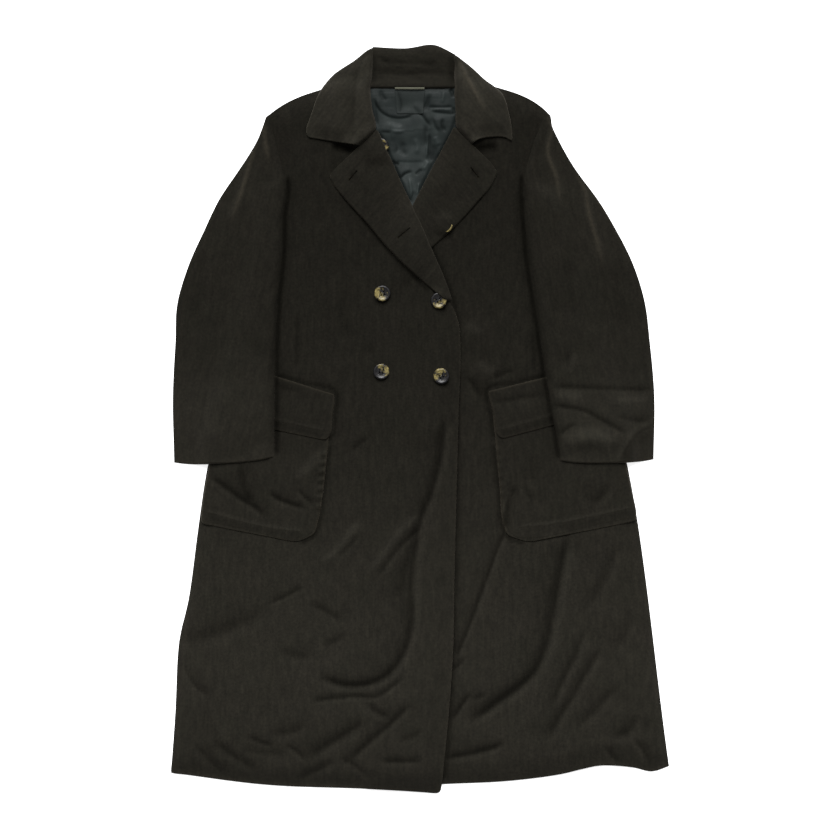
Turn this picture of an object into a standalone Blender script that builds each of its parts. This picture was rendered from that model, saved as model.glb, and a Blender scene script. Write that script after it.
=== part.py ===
"""Double-breasted overcoat, laid flat on its back with the right front over the left.

Every cloth piece is an open grid through its own sections. It is laid on a height map of the
pieces under it, lifted by its folds, and given its thickness by Solidify. The tables are in
millimetres in the plane of the table top: X to the viewer's right, Y towards the collar, Z up.
The origin is on the table under the middle of the coat.
"""
from collections import namedtuple

import bmesh
import bpy
import numpy as np
from mathutils import Euler

MM = 0.001

# Thickness of the cloths, and the air between two pieces that lie on each other.
COAT_CLOTH = 2.4
TURNED_CLOTH = 3.0
LINING_CLOTH = 1.2
LABEL_CLOTH = 1.0
SEAM_GAP = 0.35

# Driving sizes of the coat: they place the ends of the panels.
HEM_HALF_WIDTH = 387.0
TOP_Y = 583.0
NECK_SEAM_Y = 513.0
CUFF_Y = -62.0
SLEEVE_TUCK = 2.5

# Buttons: four-hole coat buttons with a raised rim.
BUTTON_DIAMETER = 25.0
BUTTON_HEIGHT = 4.6
BUTTON_DISH = 1.2
BUTTON_SIDES = 20

# Laying: size of the map's cells, points tested on a triangle's side, rounds of smoothing.
MAP_CELL = 3.0
MAP_HALF_SIZE = (440.0, 640.0)
TRIANGLE_STEPS = 14
LAYING_ROUNDS = 6
EDGE_FADE = 45.0
BOW_POWER = 3.0
FOLD_SAMPLES = 25

# A section runs across a piece from its left to its right edge. bow lifts its middle along Y.
Section = namedtuple("Section", "left_x left_y right_x right_y bow", defaults=(0.0,))
# loft is the air under the middle of a piece, hem_loft the share of it left at the last section.
Panel = namedtuple("Panel", "name sections across step cloth loft hem_loft finish")
# A fold is a soft ridge (height above 0) or trough (below 0) on a bent line of three points.
Fold = namedtuple("Fold", "start_x start_y bend_x bend_y end_x end_y width height")
# A hem wave moves the last section along Y round one place.
Wave = namedtuple("Wave", "x width rise")
Button = namedtuple("Button", "name x y tilt_x tilt_y")

COLLAR_BACK = (
    Section(-150, 503, -146, 478),
    Section(-114, 537, -112, 458),
    Section(-74, 573, -72, 452),
    Section(-10, 573, -10, 450),
    Section(23, 576, 23, 451),
    Section(53, 560, 53, 454),
    Section(88, 531, 86, 460),
    Section(121, 505, 118, 480),
)

BACK = (
    Section(-228, 465, 189, 471, 46),
    Section(-212, 390, 164, 395),
    Section(-236, 316, 202, 316),
    Section(-284, 110, 264, 110),
    Section(-328, -75, 318, -75),
    Section(-340, -157, 332, -157),
    Section(-357, -281, 352, -281),
    Section(-373, -400, 366, -400),
    Section(-379, -467, 373, -467),
    Section(-HEM_HALF_WIDTH + 4, -535, HEM_HALF_WIDTH - 4, -524, -28),
)

BACK_LINING = (
    Section(-84, NECK_SEAM_Y, 68, NECK_SEAM_Y),
    Section(-84, 455, 70, 455),
    Section(-66, 400, 48, 400),
    Section(-38, 345, 18, 345),
    Section(-18, 306, 2, 306),
)

NECK_LABEL = (
    Section(-39, NECK_SEAM_Y - 1, 7, NECK_SEAM_Y - 1),
    Section(-36, 474, 5, 474),
)

COLLAR_STAND = (
    Section(-73, 579, -71, NECK_SEAM_Y + 0.4),
    Section(-20, 577, -20, NECK_SEAM_Y + 0.4),
    Section(22, TOP_Y - 1, 23, NECK_SEAM_Y + 0.4),
    Section(53, 567, 55, NECK_SEAM_Y + 0.4),
)

FRONT_LEFT = (
    Section(62, 514, 195, 475, 19),
    Section(48, 443, 169, 430),
    Section(28, 398, 161, 384),
    Section(2, 358, 170, 345),
    Section(-10, 329, 200, 316),
    Section(-42, 262, 222, 250),
    Section(-80, 185, 241, 186),
    Section(-84, 60, 283, 60),
    Section(-84, -71, 322, -71),
    Section(-83, -146, 336, -146),
    Section(-82, -250, 351, -250),
    Section(-80, -330, 361, -330),
    Section(-78, -405, 370, -405),
    Section(-76, -470, 378, -470),
    Section(-74, -574, HEM_HALF_WIDTH, -538),
)

LAPEL_LEFT = (
    Section(55, 453, 111, 397),
    Section(50, 443, 119, 384),
    Section(42, 428, 114, 368),
    Section(20, 387, 92, 340),
    Section(-10, 329, 55, 299),
    Section(-26, 296, 17, 264),
    Section(-42, 262, -18, 230),
    Section(-66, 212, -54, 196),
)

FRONT_RIGHT = (
    Section(-233, 470, -78, 516, 19),
    Section(-216, 425, -57, 429),
    Section(-212, 386, -39, 385),
    Section(-220, 340, -16, 337),
    Section(-240, 266, 16, 266),
    Section(-258, 200, 42, 195),
    Section(-268, 160, 57, 160),
    Section(-288, 90, 63, 110),
    Section(-310, 0, 60, 15),
    Section(-331, -79, 58, -60),
    Section(-343, -157, 56, -138),
    Section(-360, -281, 53, -260),
    Section(-374, -343, 52, -340),
    Section(-380, -450, 46, -440),
    Section(-HEM_HALF_WIDTH, -546, 32, -TOP_Y + 2),
)

LAPEL_RIGHT = (
    Section(-131, 389, -68, 450),
    Section(-140, 378, -62, 439),
    Section(-136, 367, -52, 417),
    Section(-114, 338, -30, 367),
    Section(-81, 302, -12, 329),
    Section(-48, 262, 4, 294),
    Section(-12, 226, 24, 248),
    Section(20, 198, 40, 210),
    Section(42, 179, 49, 182),
)

POCKET_RIGHT = (
    Section(-304, 28, -137, 16),
    Section(-325, -60, -143, -50),
    Section(-337, -122, -151, -122),
    Section(-340, -148, -157, -156),
    Section(-340, -155, -166, -179),
    Section(-338, -162, -188, -191),
)

POCKET_LEFT = (
    Section(112, 14, 296, 34),
    Section(118, -50, 318, -60),
    Section(124, -115, 331, -118),
    Section(128, -160, 336, -143),
    Section(136, -179, 336, -150),
    Section(165, -191, 334, -158),
)

FLAP_RIGHT = (
    Section(-283, 86, -133, 39),
    Section(-289, 44, -131, 4),
    Section(-295, 6, -135, -28),
    Section(-296, -2, -140, -34),
)

FLAP_LEFT = (
    Section(106, 44, 264, 83),
    Section(110, 6, 271, 46),
    Section(115, -27, 276, 16),
    Section(120, -32, 277, 9),
)

SLEEVE_RIGHT = (
    Section(-241, 464, -231, 470),
    Section(-253, 432, -217, 427),
    Section(-279, 391, -212, 388),
    Section(-313, 340, -206, 358),
    Section(-336, 292, -213, 315),
    Section(-357, 246, -213, 262),
    Section(-376, 186, -219, 203),
    Section(-380, 122, -224, 122),
    Section(-384, 40, -225, 40),
    Section(-382, CUFF_Y - 5, -225, CUFF_Y + 4, -6),
)

SLEEVE_LEFT = (
    Section(190, 473, 199, 468),
    Section(170, 430, 216, 432),
    Section(162, 386, 240, 391),
    Section(160, 353, 278, 339),
    Section(163, 296, 306, 292),
    Section(170, 242, 330, 244),
    Section(179, 186, 349, 184),
    Section(186, 122, 357, 122),
    Section(198, 45, 364, 42),
    Section(216, CUFF_Y - 2, 363, CUFF_Y, -5),
)

COLLAR_RIGHT = (
    Section(-83, 573, -71, 579),
    Section(-103, 557, -72, 556),
    Section(-133, 537, -74, 530),
    Section(-155, 510, -76, 504),
    Section(-167, 477, -73, 477),
    Section(-176, 450, -68, 450),
    Section(-173, 437, -94, 424),
)

COLLAR_LEFT = (
    Section(52, 566, 57, 565),
    Section(53, 550, 78, 549),
    Section(53, 530, 101, 528),
    Section(53, 504, 129, 504),
    Section(55, 478, 137, 477),
    Section(56, 453, 142, 452),
    Section(79, 426, 143, 431, 9),
)

# The under sleeve starts below the cap, at this section of the top sleeve.
UNDER_SLEEVE_FROM = 3

CHARCOAL = "coat_cloth"
SATIN = "lining_cloth"

# Laid in this order, each on the ones before it.
FIRST_LAYERS = (
    Panel("collar_back", COLLAR_BACK, 4, 24, TURNED_CLOTH, 0, 0, CHARCOAL),
    Panel("back", BACK, 12, 46, COAT_CLOTH, 0, 0, CHARCOAL),
    Panel("back_lining", BACK_LINING, 8, 22, LINING_CLOTH, 2, 0, SATIN),
    Panel("neck_label", NECK_LABEL, 4, 14, LABEL_CLOTH, 0.5, 0, "label_cloth"),
    Panel("collar_stand", COLLAR_STAND, 5, 14, TURNED_CLOTH, 2, 0, CHARCOAL),
)
LEFT_SIDE = Panel("front_left", FRONT_LEFT, 17, 28, COAT_CLOTH, 5, 0.5, CHARCOAL)
LEFT_TURN = Panel("lapel_left", LAPEL_LEFT, 6, 26, TURNED_CLOTH, 3, 0, CHARCOAL)
RIGHT_SIDE = Panel("front_right", FRONT_RIGHT, 17, 28, COAT_CLOTH, 5, 0.5, CHARCOAL)
RIGHT_TURN = Panel("lapel_right", LAPEL_RIGHT, 6, 26, TURNED_CLOTH, 3, 0, CHARCOAL)
LAST_LAYERS = (
    Panel("pocket_left", POCKET_LEFT, 9, 22, COAT_CLOTH, 2, 0, CHARCOAL),
    Panel("pocket_right", POCKET_RIGHT, 9, 22, COAT_CLOTH, 2, 0, CHARCOAL),
    Panel("flap_left", FLAP_LEFT, 8, 18, COAT_CLOTH, 1.5, 0, CHARCOAL),
    Panel("flap_right", FLAP_RIGHT, 8, 18, COAT_CLOTH, 1.5, 0, CHARCOAL),
)
SLEEVES = (
    Panel("sleeve_left", SLEEVE_LEFT, 8, 24, COAT_CLOTH, 7, 0.5, CHARCOAL),
    Panel("sleeve_right", SLEEVE_RIGHT, 8, 24, COAT_CLOTH, 7, 0.5, CHARCOAL),
)
COLLAR_WINGS = (
    Panel("collar_left", COLLAR_LEFT, 6, 16, TURNED_CLOTH, 5, 0, CHARCOAL),
    Panel("collar_right", COLLAR_RIGHT, 6, 16, TURNED_CLOTH, 5, 0, CHARCOAL),
)
UNDER_SLEEVE_ACROSS = 5
UNDER_SLEEVE_STEP = 36

FOLDS = {
    "front_right": (
        Fold(36, 6, 32, -110, -16, -219, 40, -5),
        Fold(-16, -219, -10, -370, -97, -411, 46, -6),
        Fold(-7, -150, -40, -195, -76, -230, 36, 4),
        Fold(-67, -467, -120, -515, -189, -556, 44, -4),
        Fold(-178, -258, -250, -310, -368, -334, 54, -5),
        Fold(-267, -489, -225, -504, -178, -528, 44, -4),
        Fold(-334, -520, -310, -535, -290, -551, 36, -3),
    ),
    "front_left": (
        Fold(221, -219, 212, -330, 168, -400, 48, -6),
        Fold(168, -400, 126, -435, 70, -467, 46, -6),
        Fold(291, -235, 240, -320, 193, -498, 48, -5),
        Fold(151, -106, 118, -205, 54, -366, 34, -4),
        Fold(313, -408, 275, -440, 243, -475, 44, -4),
    ),
    "sleeve_left_top": (
        Fold(203, 23, 261, 12, 319, -21, 38, -5),
        Fold(256, 40, 310, 48, 362, 50, 38, -4),
        Fold(243, 382, 262, 335, 277, 273, 44, 4),
        Fold(290, -52, 325, -40, 348, -16, 36, -4),
    ),
    "sleeve_right_top": (
        Fold(-253, 418, -270, 370, -287, 315, 44, 4),
        Fold(-370, 45, -300, 50, -235, 40, 44, -3),
    ),
    "lapel_right": (
        Fold(-62, 440, -14, 335, 40, 205, 22, 3),
    ),
    "lapel_left": (
        Fold(52, 446, 10, 365, -30, 290, 22, 3),
    ),
    "collar_left": (
        Fold(58, 560, 66, 520, 62, 455, 30, 6),
        Fold(70, 540, 90, 505, 104, 484, 34, 3),
    ),
    "collar_right": (
        Fold(-76, 568, -84, 510, -76, 450, 30, 6),
    ),
}

HEM_WAVES = {
    "front_right": (Wave(-240, 270, -9),),
    "front_left": (Wave(130, 160, -4), Wave(280, 90, 9), Wave(358, 36, -7)),
}

# The first two lie under a lapel and a front, so they are set before those.
BUTTON_INNER = Button("button_inner", -61, 424, 0, 0)
BUTTON_LAPEL = Button("button_lapel", 39, 301, 0, 0)
BUTTON_TURNED = Button("button_front_2", 29, 184, 0, 0)
FRONT_BUTTONS = (
    Button("button_front_1", -58, 195, 2, 1),
    Button("button_front_3", -60, 74, -1, 2),
    Button("button_front_4", 33, 67, 2, -2),
)

# Linear base colour, roughness and metallic value of each finish.
FINISHES = {
    "coat_cloth": ((0.020, 0.018, 0.014), 0.95, 0.0),
    "lining_cloth": ((0.031, 0.036, 0.036), 0.45, 0.0),
    "label_cloth": ((0.038, 0.042, 0.040), 0.60, 0.0),
    "horn": ((0.060, 0.035, 0.015), 0.25, 0.0),
}


class HeightMap:
    """Top of everything laid so far, in millimetres, on a square raster over the table."""

    def __init__(self):
        columns = int(2 * MAP_HALF_SIZE[0] / MAP_CELL) + 1
        rows = int(2 * MAP_HALF_SIZE[1] / MAP_CELL) + 1
        self.top = np.zeros((columns, rows))

    def cells(self, points):
        """Column and row of each point."""
        column = np.rint((points[..., 0] + MAP_HALF_SIZE[0]) / MAP_CELL).astype(int)
        row = np.rint((points[..., 1] + MAP_HALF_SIZE[1]) / MAP_CELL).astype(int)
        return column, row

    def support(self, points):
        """Height that a piece needs at each point to clear what lies there and just beside it."""
        widened = self.top
        for axis in (0, 1):
            before = np.roll(widened, -1, axis)
            after = np.roll(widened, 1, axis)
            widened = np.maximum(widened, np.maximum(before, after))
        needed = np.where(widened > 0.0, widened + SEAM_GAP, 0.0)
        return needed[self.cells(points)]

    def add(self, points):
        """Raise the map to the points of a new piece."""
        np.maximum.at(self.top, self.cells(points), points[..., 2])


def triangle_weights():
    """Barycentric weights of the points at which a triangle is tested."""
    steps = TRIANGLE_STEPS
    weights = []
    for i in range(steps + 1):
        for j in range(steps + 1 - i):
            weights.append((i / steps, j / steps, (steps - i - j) / steps))
    return np.array(weights)


WEIGHTS = triangle_weights()


def spread(values, triangles):
    """Values at every test point of every triangle."""
    return np.einsum("sk,tk...->ts...", WEIGHTS, values[triangles])


def stations(sections, step):
    """Rows of a grid: every section, with smooth rows between them at about the given step."""
    table = np.array(sections, dtype=float)
    edges = np.stack([table[:, 0:2], table[:, 2:4]])
    lengths = np.linalg.norm(np.diff(edges, axis=1), axis=2).max(axis=0)
    place = np.concatenate([[0.0], np.cumsum(lengths)])
    slope = np.gradient(table, place, axis=0)
    rows = [table[0]]
    for k, length in enumerate(lengths):
        count = max(1, round(length / step))
        for part in range(1, count + 1):
            t = part / count
            start = (1 + 2 * t) * (1 - t) ** 2
            end = t * t * (3 - 2 * t)
            leave = t * (1 - t) ** 2 * length
            arrive = t * t * (t - 1) * length
            rows.append(start * table[k] + end * table[k + 1] + leave * slope[k] + arrive * slope[k + 1])
    return np.array(rows)


def smooth_fade(distance, reach):
    """0 at an edge, 1 from the given reach inwards."""
    t = np.clip(distance / reach, 0.0, 1.0)
    return t * t * (3 - 2 * t)


def fold_heights(points, folds):
    """Sum of the folds' heights at the points."""
    height = np.zeros(len(points))
    t = np.linspace(0.0, 1.0, FOLD_SAMPLES)[:, None]
    for fold in folds:
        start = np.array([fold.start_x, fold.start_y])
        bend = np.array([fold.bend_x, fold.bend_y])
        end = np.array([fold.end_x, fold.end_y])
        line = (1 - t) ** 2 * start + 2 * t * (1 - t) * bend + t * t * end
        distance = np.linalg.norm(points[:, None, :] - line[None, :, :], axis=2)
        nearest = distance.argmin(axis=1)
        along = t[nearest, 0]
        taper = np.sqrt(np.clip(4 * along * (1 - along), 0.15, 1.0))
        across = np.exp(-(2 * distance.min(axis=1) / fold.width) ** 2)
        height += fold.height * taper * across
    return height


def relaxed(heights, pairs, count):
    """Each vertex at the mean of its neighbours and itself."""
    total = heights.copy()
    for a, b in ((0, 1), (1, 0)):
        np.add.at(total, pairs[:, a], heights[pairs[:, b]])
    return total / count


def laid(points, triangles, pairs, height_map):
    """Lowest smooth heights at which the triangles clear what lies under them."""
    needed = height_map.support(spread(points, triangles))
    heights = height_map.support(points)
    count = 1 + np.bincount(pairs.ravel(), minlength=len(points))
    for _ in range(LAYING_ROUNDS):
        heights = relaxed(heights, pairs, count)
        for _ in range(LAYING_ROUNDS):
            short = needed - spread(heights, triangles)
            worst = short.argmax(axis=1)
            missing = np.clip(short.max(axis=1), 0.0, None)
            share = WEIGHTS[worst]
            share = share / (share ** 2).sum(axis=1, keepdims=True)
            lift = np.zeros(len(points))
            for corner in range(3):
                np.maximum.at(lift, triangles[:, corner], missing * share[:, corner])
            heights = heights + lift
    missing = np.clip((needed - spread(heights, triangles)).max(axis=1), 0.0, None)
    lift = np.zeros(len(points))
    for corner in range(3):
        np.maximum.at(lift, triangles[:, corner], missing)
    return heights + lift


def make_finish(name):
    """Principled material of one finish."""
    colour, roughness, metallic = FINISHES[name]
    material = bpy.data.materials.get(name) or bpy.data.materials.new(name)
    material.use_nodes = True
    shader = material.node_tree.nodes["Principled BSDF"]
    shader.inputs["Base Color"].default_value = (*colour, 1.0)
    shader.inputs["Roughness"].default_value = roughness
    shader.inputs["Metallic"].default_value = metallic
    return material


def world_samples(piece):
    """Test points in millimetres on every triangle of a finished piece."""
    bpy.context.view_layer.update()
    solid = piece.evaluated_get(bpy.context.evaluated_depsgraph_get())
    mesh = solid.to_mesh()
    mesh.calc_loop_triangles()
    corners = np.array([piece.matrix_world @ vertex.co for vertex in mesh.vertices]) / MM
    triangles = np.array([triangle.vertices[:] for triangle in mesh.loop_triangles])
    solid.to_mesh_clear()
    return spread(corners, triangles)


def make_panel(panel, height_map, parts):
    """One piece of cloth: a grid through its sections, laid down, folded and thickened."""
    rows = stations(panel.sections, panel.step)
    along = len(rows) - 1
    grid = bmesh.new()
    bmesh.ops.create_grid(grid, x_segments=panel.across, y_segments=along, size=0.5)
    bmesh.ops.triangulate(grid, faces=grid.faces[:], quad_method="FIXED")
    grid.verts.index_update()
    u = np.array([vertex.co.x + 0.5 for vertex in grid.verts])
    v = np.array([0.5 - vertex.co.y for vertex in grid.verts])
    row = rows[np.rint(v * along).astype(int)]
    points = row[:, 0:2] * (1 - u)[:, None] + row[:, 2:4] * u[:, None]
    points[:, 1] += row[:, 4] * (1 - np.abs(2 * u - 1) ** BOW_POWER)
    for wave in HEM_WAVES.get(panel.name, ()):
        near_hem = np.clip(2 * v - 1, 0.0, 1.0) ** 4
        points[:, 1] += near_hem * wave.rise * np.exp(-(2 * (points[:, 0] - wave.x) / wave.width) ** 2)

    triangles = np.array([[corner.index for corner in face.verts] for face in grid.faces])
    pairs = np.array([[end.index for end in edge.verts] for edge in grid.edges])
    heights = laid(points, triangles, pairs, height_map)
    width = np.linalg.norm(row[:, 2:4] - row[:, 0:2], axis=1)
    length = np.linalg.norm(rows[-1, 0:2] - rows[0, 0:2])
    air = smooth_fade(np.minimum(u, 1 - u) * width, EDGE_FADE) * smooth_fade(v * length, EDGE_FADE)
    air *= panel.hem_loft + (1 - panel.hem_loft) * smooth_fade((1 - v) * length, EDGE_FADE)
    folds = fold_heights(points, FOLDS.get(panel.name, ()))
    heights += np.clip(air * panel.loft + folds, 0.0, None)

    for vertex, place, height in zip(grid.verts, points, heights):
        vertex.co = (place[0] * MM, place[1] * MM, height * MM)
    bmesh.ops.recalc_face_normals(grid, faces=grid.faces[:])
    if sum(face.normal.z for face in grid.faces) < 0.0:
        bmesh.ops.reverse_faces(grid, faces=grid.faces[:])
    mesh = bpy.data.meshes.new(panel.name)
    grid.to_mesh(mesh)
    grid.free()
    mesh.materials.append(make_finish(panel.finish))
    mesh.shade_smooth()
    piece = bpy.data.objects.new(panel.name, mesh)
    parts.objects.link(piece)
    wall = piece.modifiers.new("cloth", "SOLIDIFY")
    wall.thickness = panel.cloth * MM
    wall.offset = 1.0
    height_map.add(world_samples(piece))


def under_sleeve(sleeve):
    """The hidden half of a sleeve, tucked in from the edges of the top half."""
    sections = []
    for section in sleeve.sections[UNDER_SLEEVE_FROM:]:
        sections.append(section._replace(left_x=section.left_x + SLEEVE_TUCK,
                                         right_x=section.right_x - SLEEVE_TUCK))
    cuff = sections[-1]
    sections[-1] = cuff._replace(left_y=cuff.left_y + SLEEVE_TUCK, right_y=cuff.right_y + SLEEVE_TUCK)
    return Panel(sleeve.name + "_under", tuple(sections), UNDER_SLEEVE_ACROSS, UNDER_SLEEVE_STEP,
                 sleeve.cloth, 1.0, 0.0, sleeve.finish)


def make_button(button, height_map, parts):
    """Turned button with a rounded rim and a dished face, resting on the cloth."""
    radius = BUTTON_DIAMETER / 2
    profile = (
        (0.0, BUTTON_HEIGHT - BUTTON_DISH),
        (0.62 * radius, BUTTON_HEIGHT - BUTTON_DISH),
        (0.80 * radius, BUTTON_HEIGHT),
        (0.93 * radius, 0.92 * BUTTON_HEIGHT),
        (radius, 0.55 * BUTTON_HEIGHT),
        (0.72 * radius, 0.0),
        (0.0, 0.0),
    )
    outline = bmesh.new()
    corners = [outline.verts.new((across * MM, 0.0, up * MM)) for across, up in profile]
    for first, second in zip(corners, corners[1:]):
        outline.edges.new((first, second))
    mesh = bpy.data.meshes.new(button.name)
    outline.to_mesh(mesh)
    outline.free()
    mesh.materials.append(make_finish("horn"))
    piece = bpy.data.objects.new(button.name, mesh)
    parts.objects.link(piece)
    turn = piece.modifiers.new("turned", "SCREW")
    turn.steps = BUTTON_SIDES
    turn.render_steps = BUTTON_SIDES
    turn.use_merge_vertices = True
    turn.merge_threshold = 0.00001
    piece.rotation_euler = Euler((np.radians(button.tilt_x), np.radians(button.tilt_y), 0.0))
    piece.location = (button.x * MM, button.y * MM, 0.0)
    footprint = world_samples(piece)
    rise = (height_map.support(footprint) - footprint[..., 2]).max()
    piece.location.z = rise * MM
    height_map.add(world_samples(piece))


def main():
    for piece in list(bpy.data.objects):
        bpy.data.objects.remove(piece, do_unlink=True)
    parts = bpy.data.collections.new("overcoat")
    bpy.context.scene.collection.children.link(parts)
    height_map = HeightMap()
    for panel in FIRST_LAYERS:
        make_panel(panel, height_map, parts)
    make_button(BUTTON_INNER, height_map, parts)
    make_panel(LEFT_SIDE, height_map, parts)
    make_button(BUTTON_LAPEL, height_map, parts)
    make_panel(LEFT_TURN, height_map, parts)
    make_panel(RIGHT_SIDE, height_map, parts)
    make_button(BUTTON_TURNED, height_map, parts)
    make_panel(RIGHT_TURN, height_map, parts)
    for panel in LAST_LAYERS:
        make_panel(panel, height_map, parts)
    for sleeve in SLEEVES:
        make_panel(under_sleeve(sleeve), height_map, parts)
        make_panel(sleeve._replace(name=sleeve.name + "_top"), height_map, parts)
    for panel in COLLAR_WINGS:
        make_panel(panel, height_map, parts)
    for button in FRONT_BUTTONS:
        make_button(button, height_map, parts)


main()
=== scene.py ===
# %% [markdown]
# An overcoat laid flat
#
# This lesson dresses the solids of a double-breasted overcoat that lies on its back with the
# right front over the left. The frame holds one plain solid for each piece of cloth and each
# button. Every cloth piece is rebuilt here as a thin shell on the outline of its solid, laid
# on the pieces under it in the order in which the coat was folded, and creased.

# %% Load the frame
import math
from collections import namedtuple

import bmesh
import bpy
import numpy as np
from mathutils import Matrix, Vector
from mathutils.bvhtree import BVHTree


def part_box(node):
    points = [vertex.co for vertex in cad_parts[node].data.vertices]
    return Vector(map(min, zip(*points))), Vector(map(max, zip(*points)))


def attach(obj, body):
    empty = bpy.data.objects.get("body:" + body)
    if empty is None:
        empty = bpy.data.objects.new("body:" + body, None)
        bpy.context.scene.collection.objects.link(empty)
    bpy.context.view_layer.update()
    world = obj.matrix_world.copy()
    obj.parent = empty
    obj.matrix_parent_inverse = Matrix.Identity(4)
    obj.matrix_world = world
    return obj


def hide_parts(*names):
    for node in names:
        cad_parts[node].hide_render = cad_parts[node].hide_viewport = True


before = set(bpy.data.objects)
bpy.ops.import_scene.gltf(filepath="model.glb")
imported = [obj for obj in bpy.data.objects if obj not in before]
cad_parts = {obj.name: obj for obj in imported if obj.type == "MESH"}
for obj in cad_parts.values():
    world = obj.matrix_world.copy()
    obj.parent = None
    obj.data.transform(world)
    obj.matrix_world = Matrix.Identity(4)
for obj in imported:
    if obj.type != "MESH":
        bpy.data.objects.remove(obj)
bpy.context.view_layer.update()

MM = 0.001

# %% [markdown]
# Objects, pieces and finishes
#
# A few steps come back in every part of this lesson, so each is a function: to put an object in
# the scene, to add a visible piece of the coat, and to start a finish and set the sockets of a
# node by name. A socket takes either a plain value or the output of another node.

# %% Helpers
scene = bpy.context.scene


def put_in_scene(name, data):
    """A new object in the scene, at the origin."""
    made = bpy.data.objects.new(name, data)
    scene.collection.objects.link(made)
    return made


def add_piece(name, mesh, node=None):
    """A visible piece of the coat, in place of its node if it stands for one."""
    piece = put_in_scene(name, mesh)
    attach(piece, "root")
    if node:
        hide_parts(node)
    return piece


def feed(tree, socket, value):
    """Set a socket to a plain value, or link it to the output of another node."""
    if isinstance(value, bpy.types.NodeSocket):
        tree.links.new(value, socket)
    else:
        socket.default_value = value


def set_sockets(tree, sockets, **values):
    """Feed sockets by name, with an underscore for each space."""
    for name, value in values.items():
        feed(tree, sockets[name.replace("_", " ")], value)


def new_finish(name):
    """A new material. Returns it, its node tree and the inputs of its surface shader."""
    material = bpy.data.materials.new(name)
    material.use_nodes = True
    tree = material.node_tree
    return material, tree, tree.nodes["Principled BSDF"].inputs


print("scene", scene.name)

# %% [markdown]
# Camera, floor and light
#
# The coat was photographed from straight above. A camera five metres up with a long lens shows
# the layers almost without perspective, as a copy stand does. The light is soft: a bright sky
# all round fills the folds, and one wide lamp beyond the collar makes every fold brighter on
# its collar side. The lamp is so far away that it lights the hem as strongly as the collar. The
# floor glows a little, like a light table, so the coat throws almost no shadow on it.

# %% Camera
CAMERA_HEIGHT = 5.0
PICTURE_WIDTH = 1.302
PICTURE_CENTRE_Y = -0.0008
COAT_PLANE = 0.012
SENSOR = 36.0

camera_data = bpy.data.cameras.new("copy_stand")
camera_data.sensor_width = SENSOR
camera_data.lens = SENSOR * (CAMERA_HEIGHT - COAT_PLANE) / PICTURE_WIDTH
camera = put_in_scene("copy_stand", camera_data)
camera.location = (0.0, PICTURE_CENTRE_Y, CAMERA_HEIGHT)
scene.camera = camera
print("lens", round(camera_data.lens, 1), "mm")

# %% Floor and light
FLOOR_HALF = 6.0
FLOOR_LEVEL = -0.0002
FLOOR_GLOW = 0.7
PAPER = (0.90, 0.90, 0.90, 1.0)
PAPER_ROUGH = 0.9
WHITE = (1.0, 1.0, 1.0, 1.0)
SKY_STRENGTH = 0.36
LAMP_STRENGTH = 5.6
LAMP_SPREAD = 40.0
LAMP_FROM = (-0.05, 1.0, 1.05)

scene.view_settings.view_transform = "Standard"
world = bpy.data.worlds.new("studio")
world.use_nodes = True
sky = world.node_tree.nodes["Background"].inputs
set_sockets(world.node_tree, sky, Color=WHITE, Strength=SKY_STRENGTH)
scene.world = world

floor_mesh = bpy.data.meshes.new("floor")
floor_signs = ((-1, -1), (1, -1), (1, 1), (-1, 1))
floor_corners = [(x * FLOOR_HALF, y * FLOOR_HALF, FLOOR_LEVEL) for x, y in floor_signs]
floor_mesh.from_pydata(floor_corners, [], [(0, 1, 2, 3)])
floor = put_in_scene("floor", floor_mesh)
paper, paper_tree, paper_surface = new_finish("white_paper")
set_sockets(paper_tree, paper_surface, Base_Color=PAPER, Roughness=PAPER_ROUGH, Emission_Color=WHITE,
            Emission_Strength=FLOOR_GLOW)
floor_mesh.materials.append(paper)

lamp = bpy.data.lights.new("collar_lamp", "SUN")
lamp.energy = LAMP_STRENGTH
lamp.angle = math.radians(LAMP_SPREAD)
lamp_holder = put_in_scene("collar_lamp", lamp)
lamp_holder.rotation_euler = Vector(LAMP_FROM).to_track_quat("Z", "Y").to_euler()

# %% [markdown]
# Cloth finishes
#
# The coat is a dark wool twill: olive and brown threads that blend to nearly black, a short nap
# that catches light at the edges, and faint streaks along the grain. Two effects are shared by
# several finishes, so each is a shader node group: the weave and the mottling of the dye. Every
# shell carries a UV map named grain, in metres along its own threads, so the weave runs down a
# sleeve and not across it. It also carries two values at its points. The edge value makes the
# cloth paler along turned edges and raised folds: partly wear, and partly a painted highlight
# where they catch the lamp. The other value is painted light and shade: it darkens the colour and
# the gloss as painted shade in creases, in the dips beside pieces that lie on the cloth and across
# the chest, and brightens the crests of folds as a painted highlight.

# %% Shader helpers
MIX_SHARE, MIX_FIRST, MIX_SECOND, MIX_RESULT = 0, 6, 7, 2
NOISE_DETAIL = 3.0


def add_node(tree, kind, **values):
    """A new node with its sockets fed by name."""
    node = tree.nodes.new(kind)
    set_sockets(tree, node.inputs, **values)
    return node


def math_node(tree, operation, *values, clamp=False):
    """A Math node fed by outputs or plain numbers. Returns its output."""
    node = tree.nodes.new("ShaderNodeMath")
    node.operation = operation
    node.use_clamp = clamp
    for place, value in enumerate(values):
        feed(tree, node.inputs[place], value)
    return node.outputs[0]


def mix_colour(tree, share, first, second, blend="MIX"):
    """A mix of outputs or plain colours. Returns its output."""
    node = tree.nodes.new("ShaderNodeMix")
    node.data_type = "RGBA"
    node.blend_type = blend
    for place, value in ((MIX_SHARE, share), (MIX_FIRST, first), (MIX_SECOND, second)):
        feed(tree, node.inputs[place], value)
    return node.outputs[MIX_RESULT]


def toned(tree, colour, share, tones):
    """The colour times a tone that lies between two, by its share."""
    return mix_colour(tree, 1.0, colour, mix_colour(tree, share, *tones), "MULTIPLY")


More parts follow.
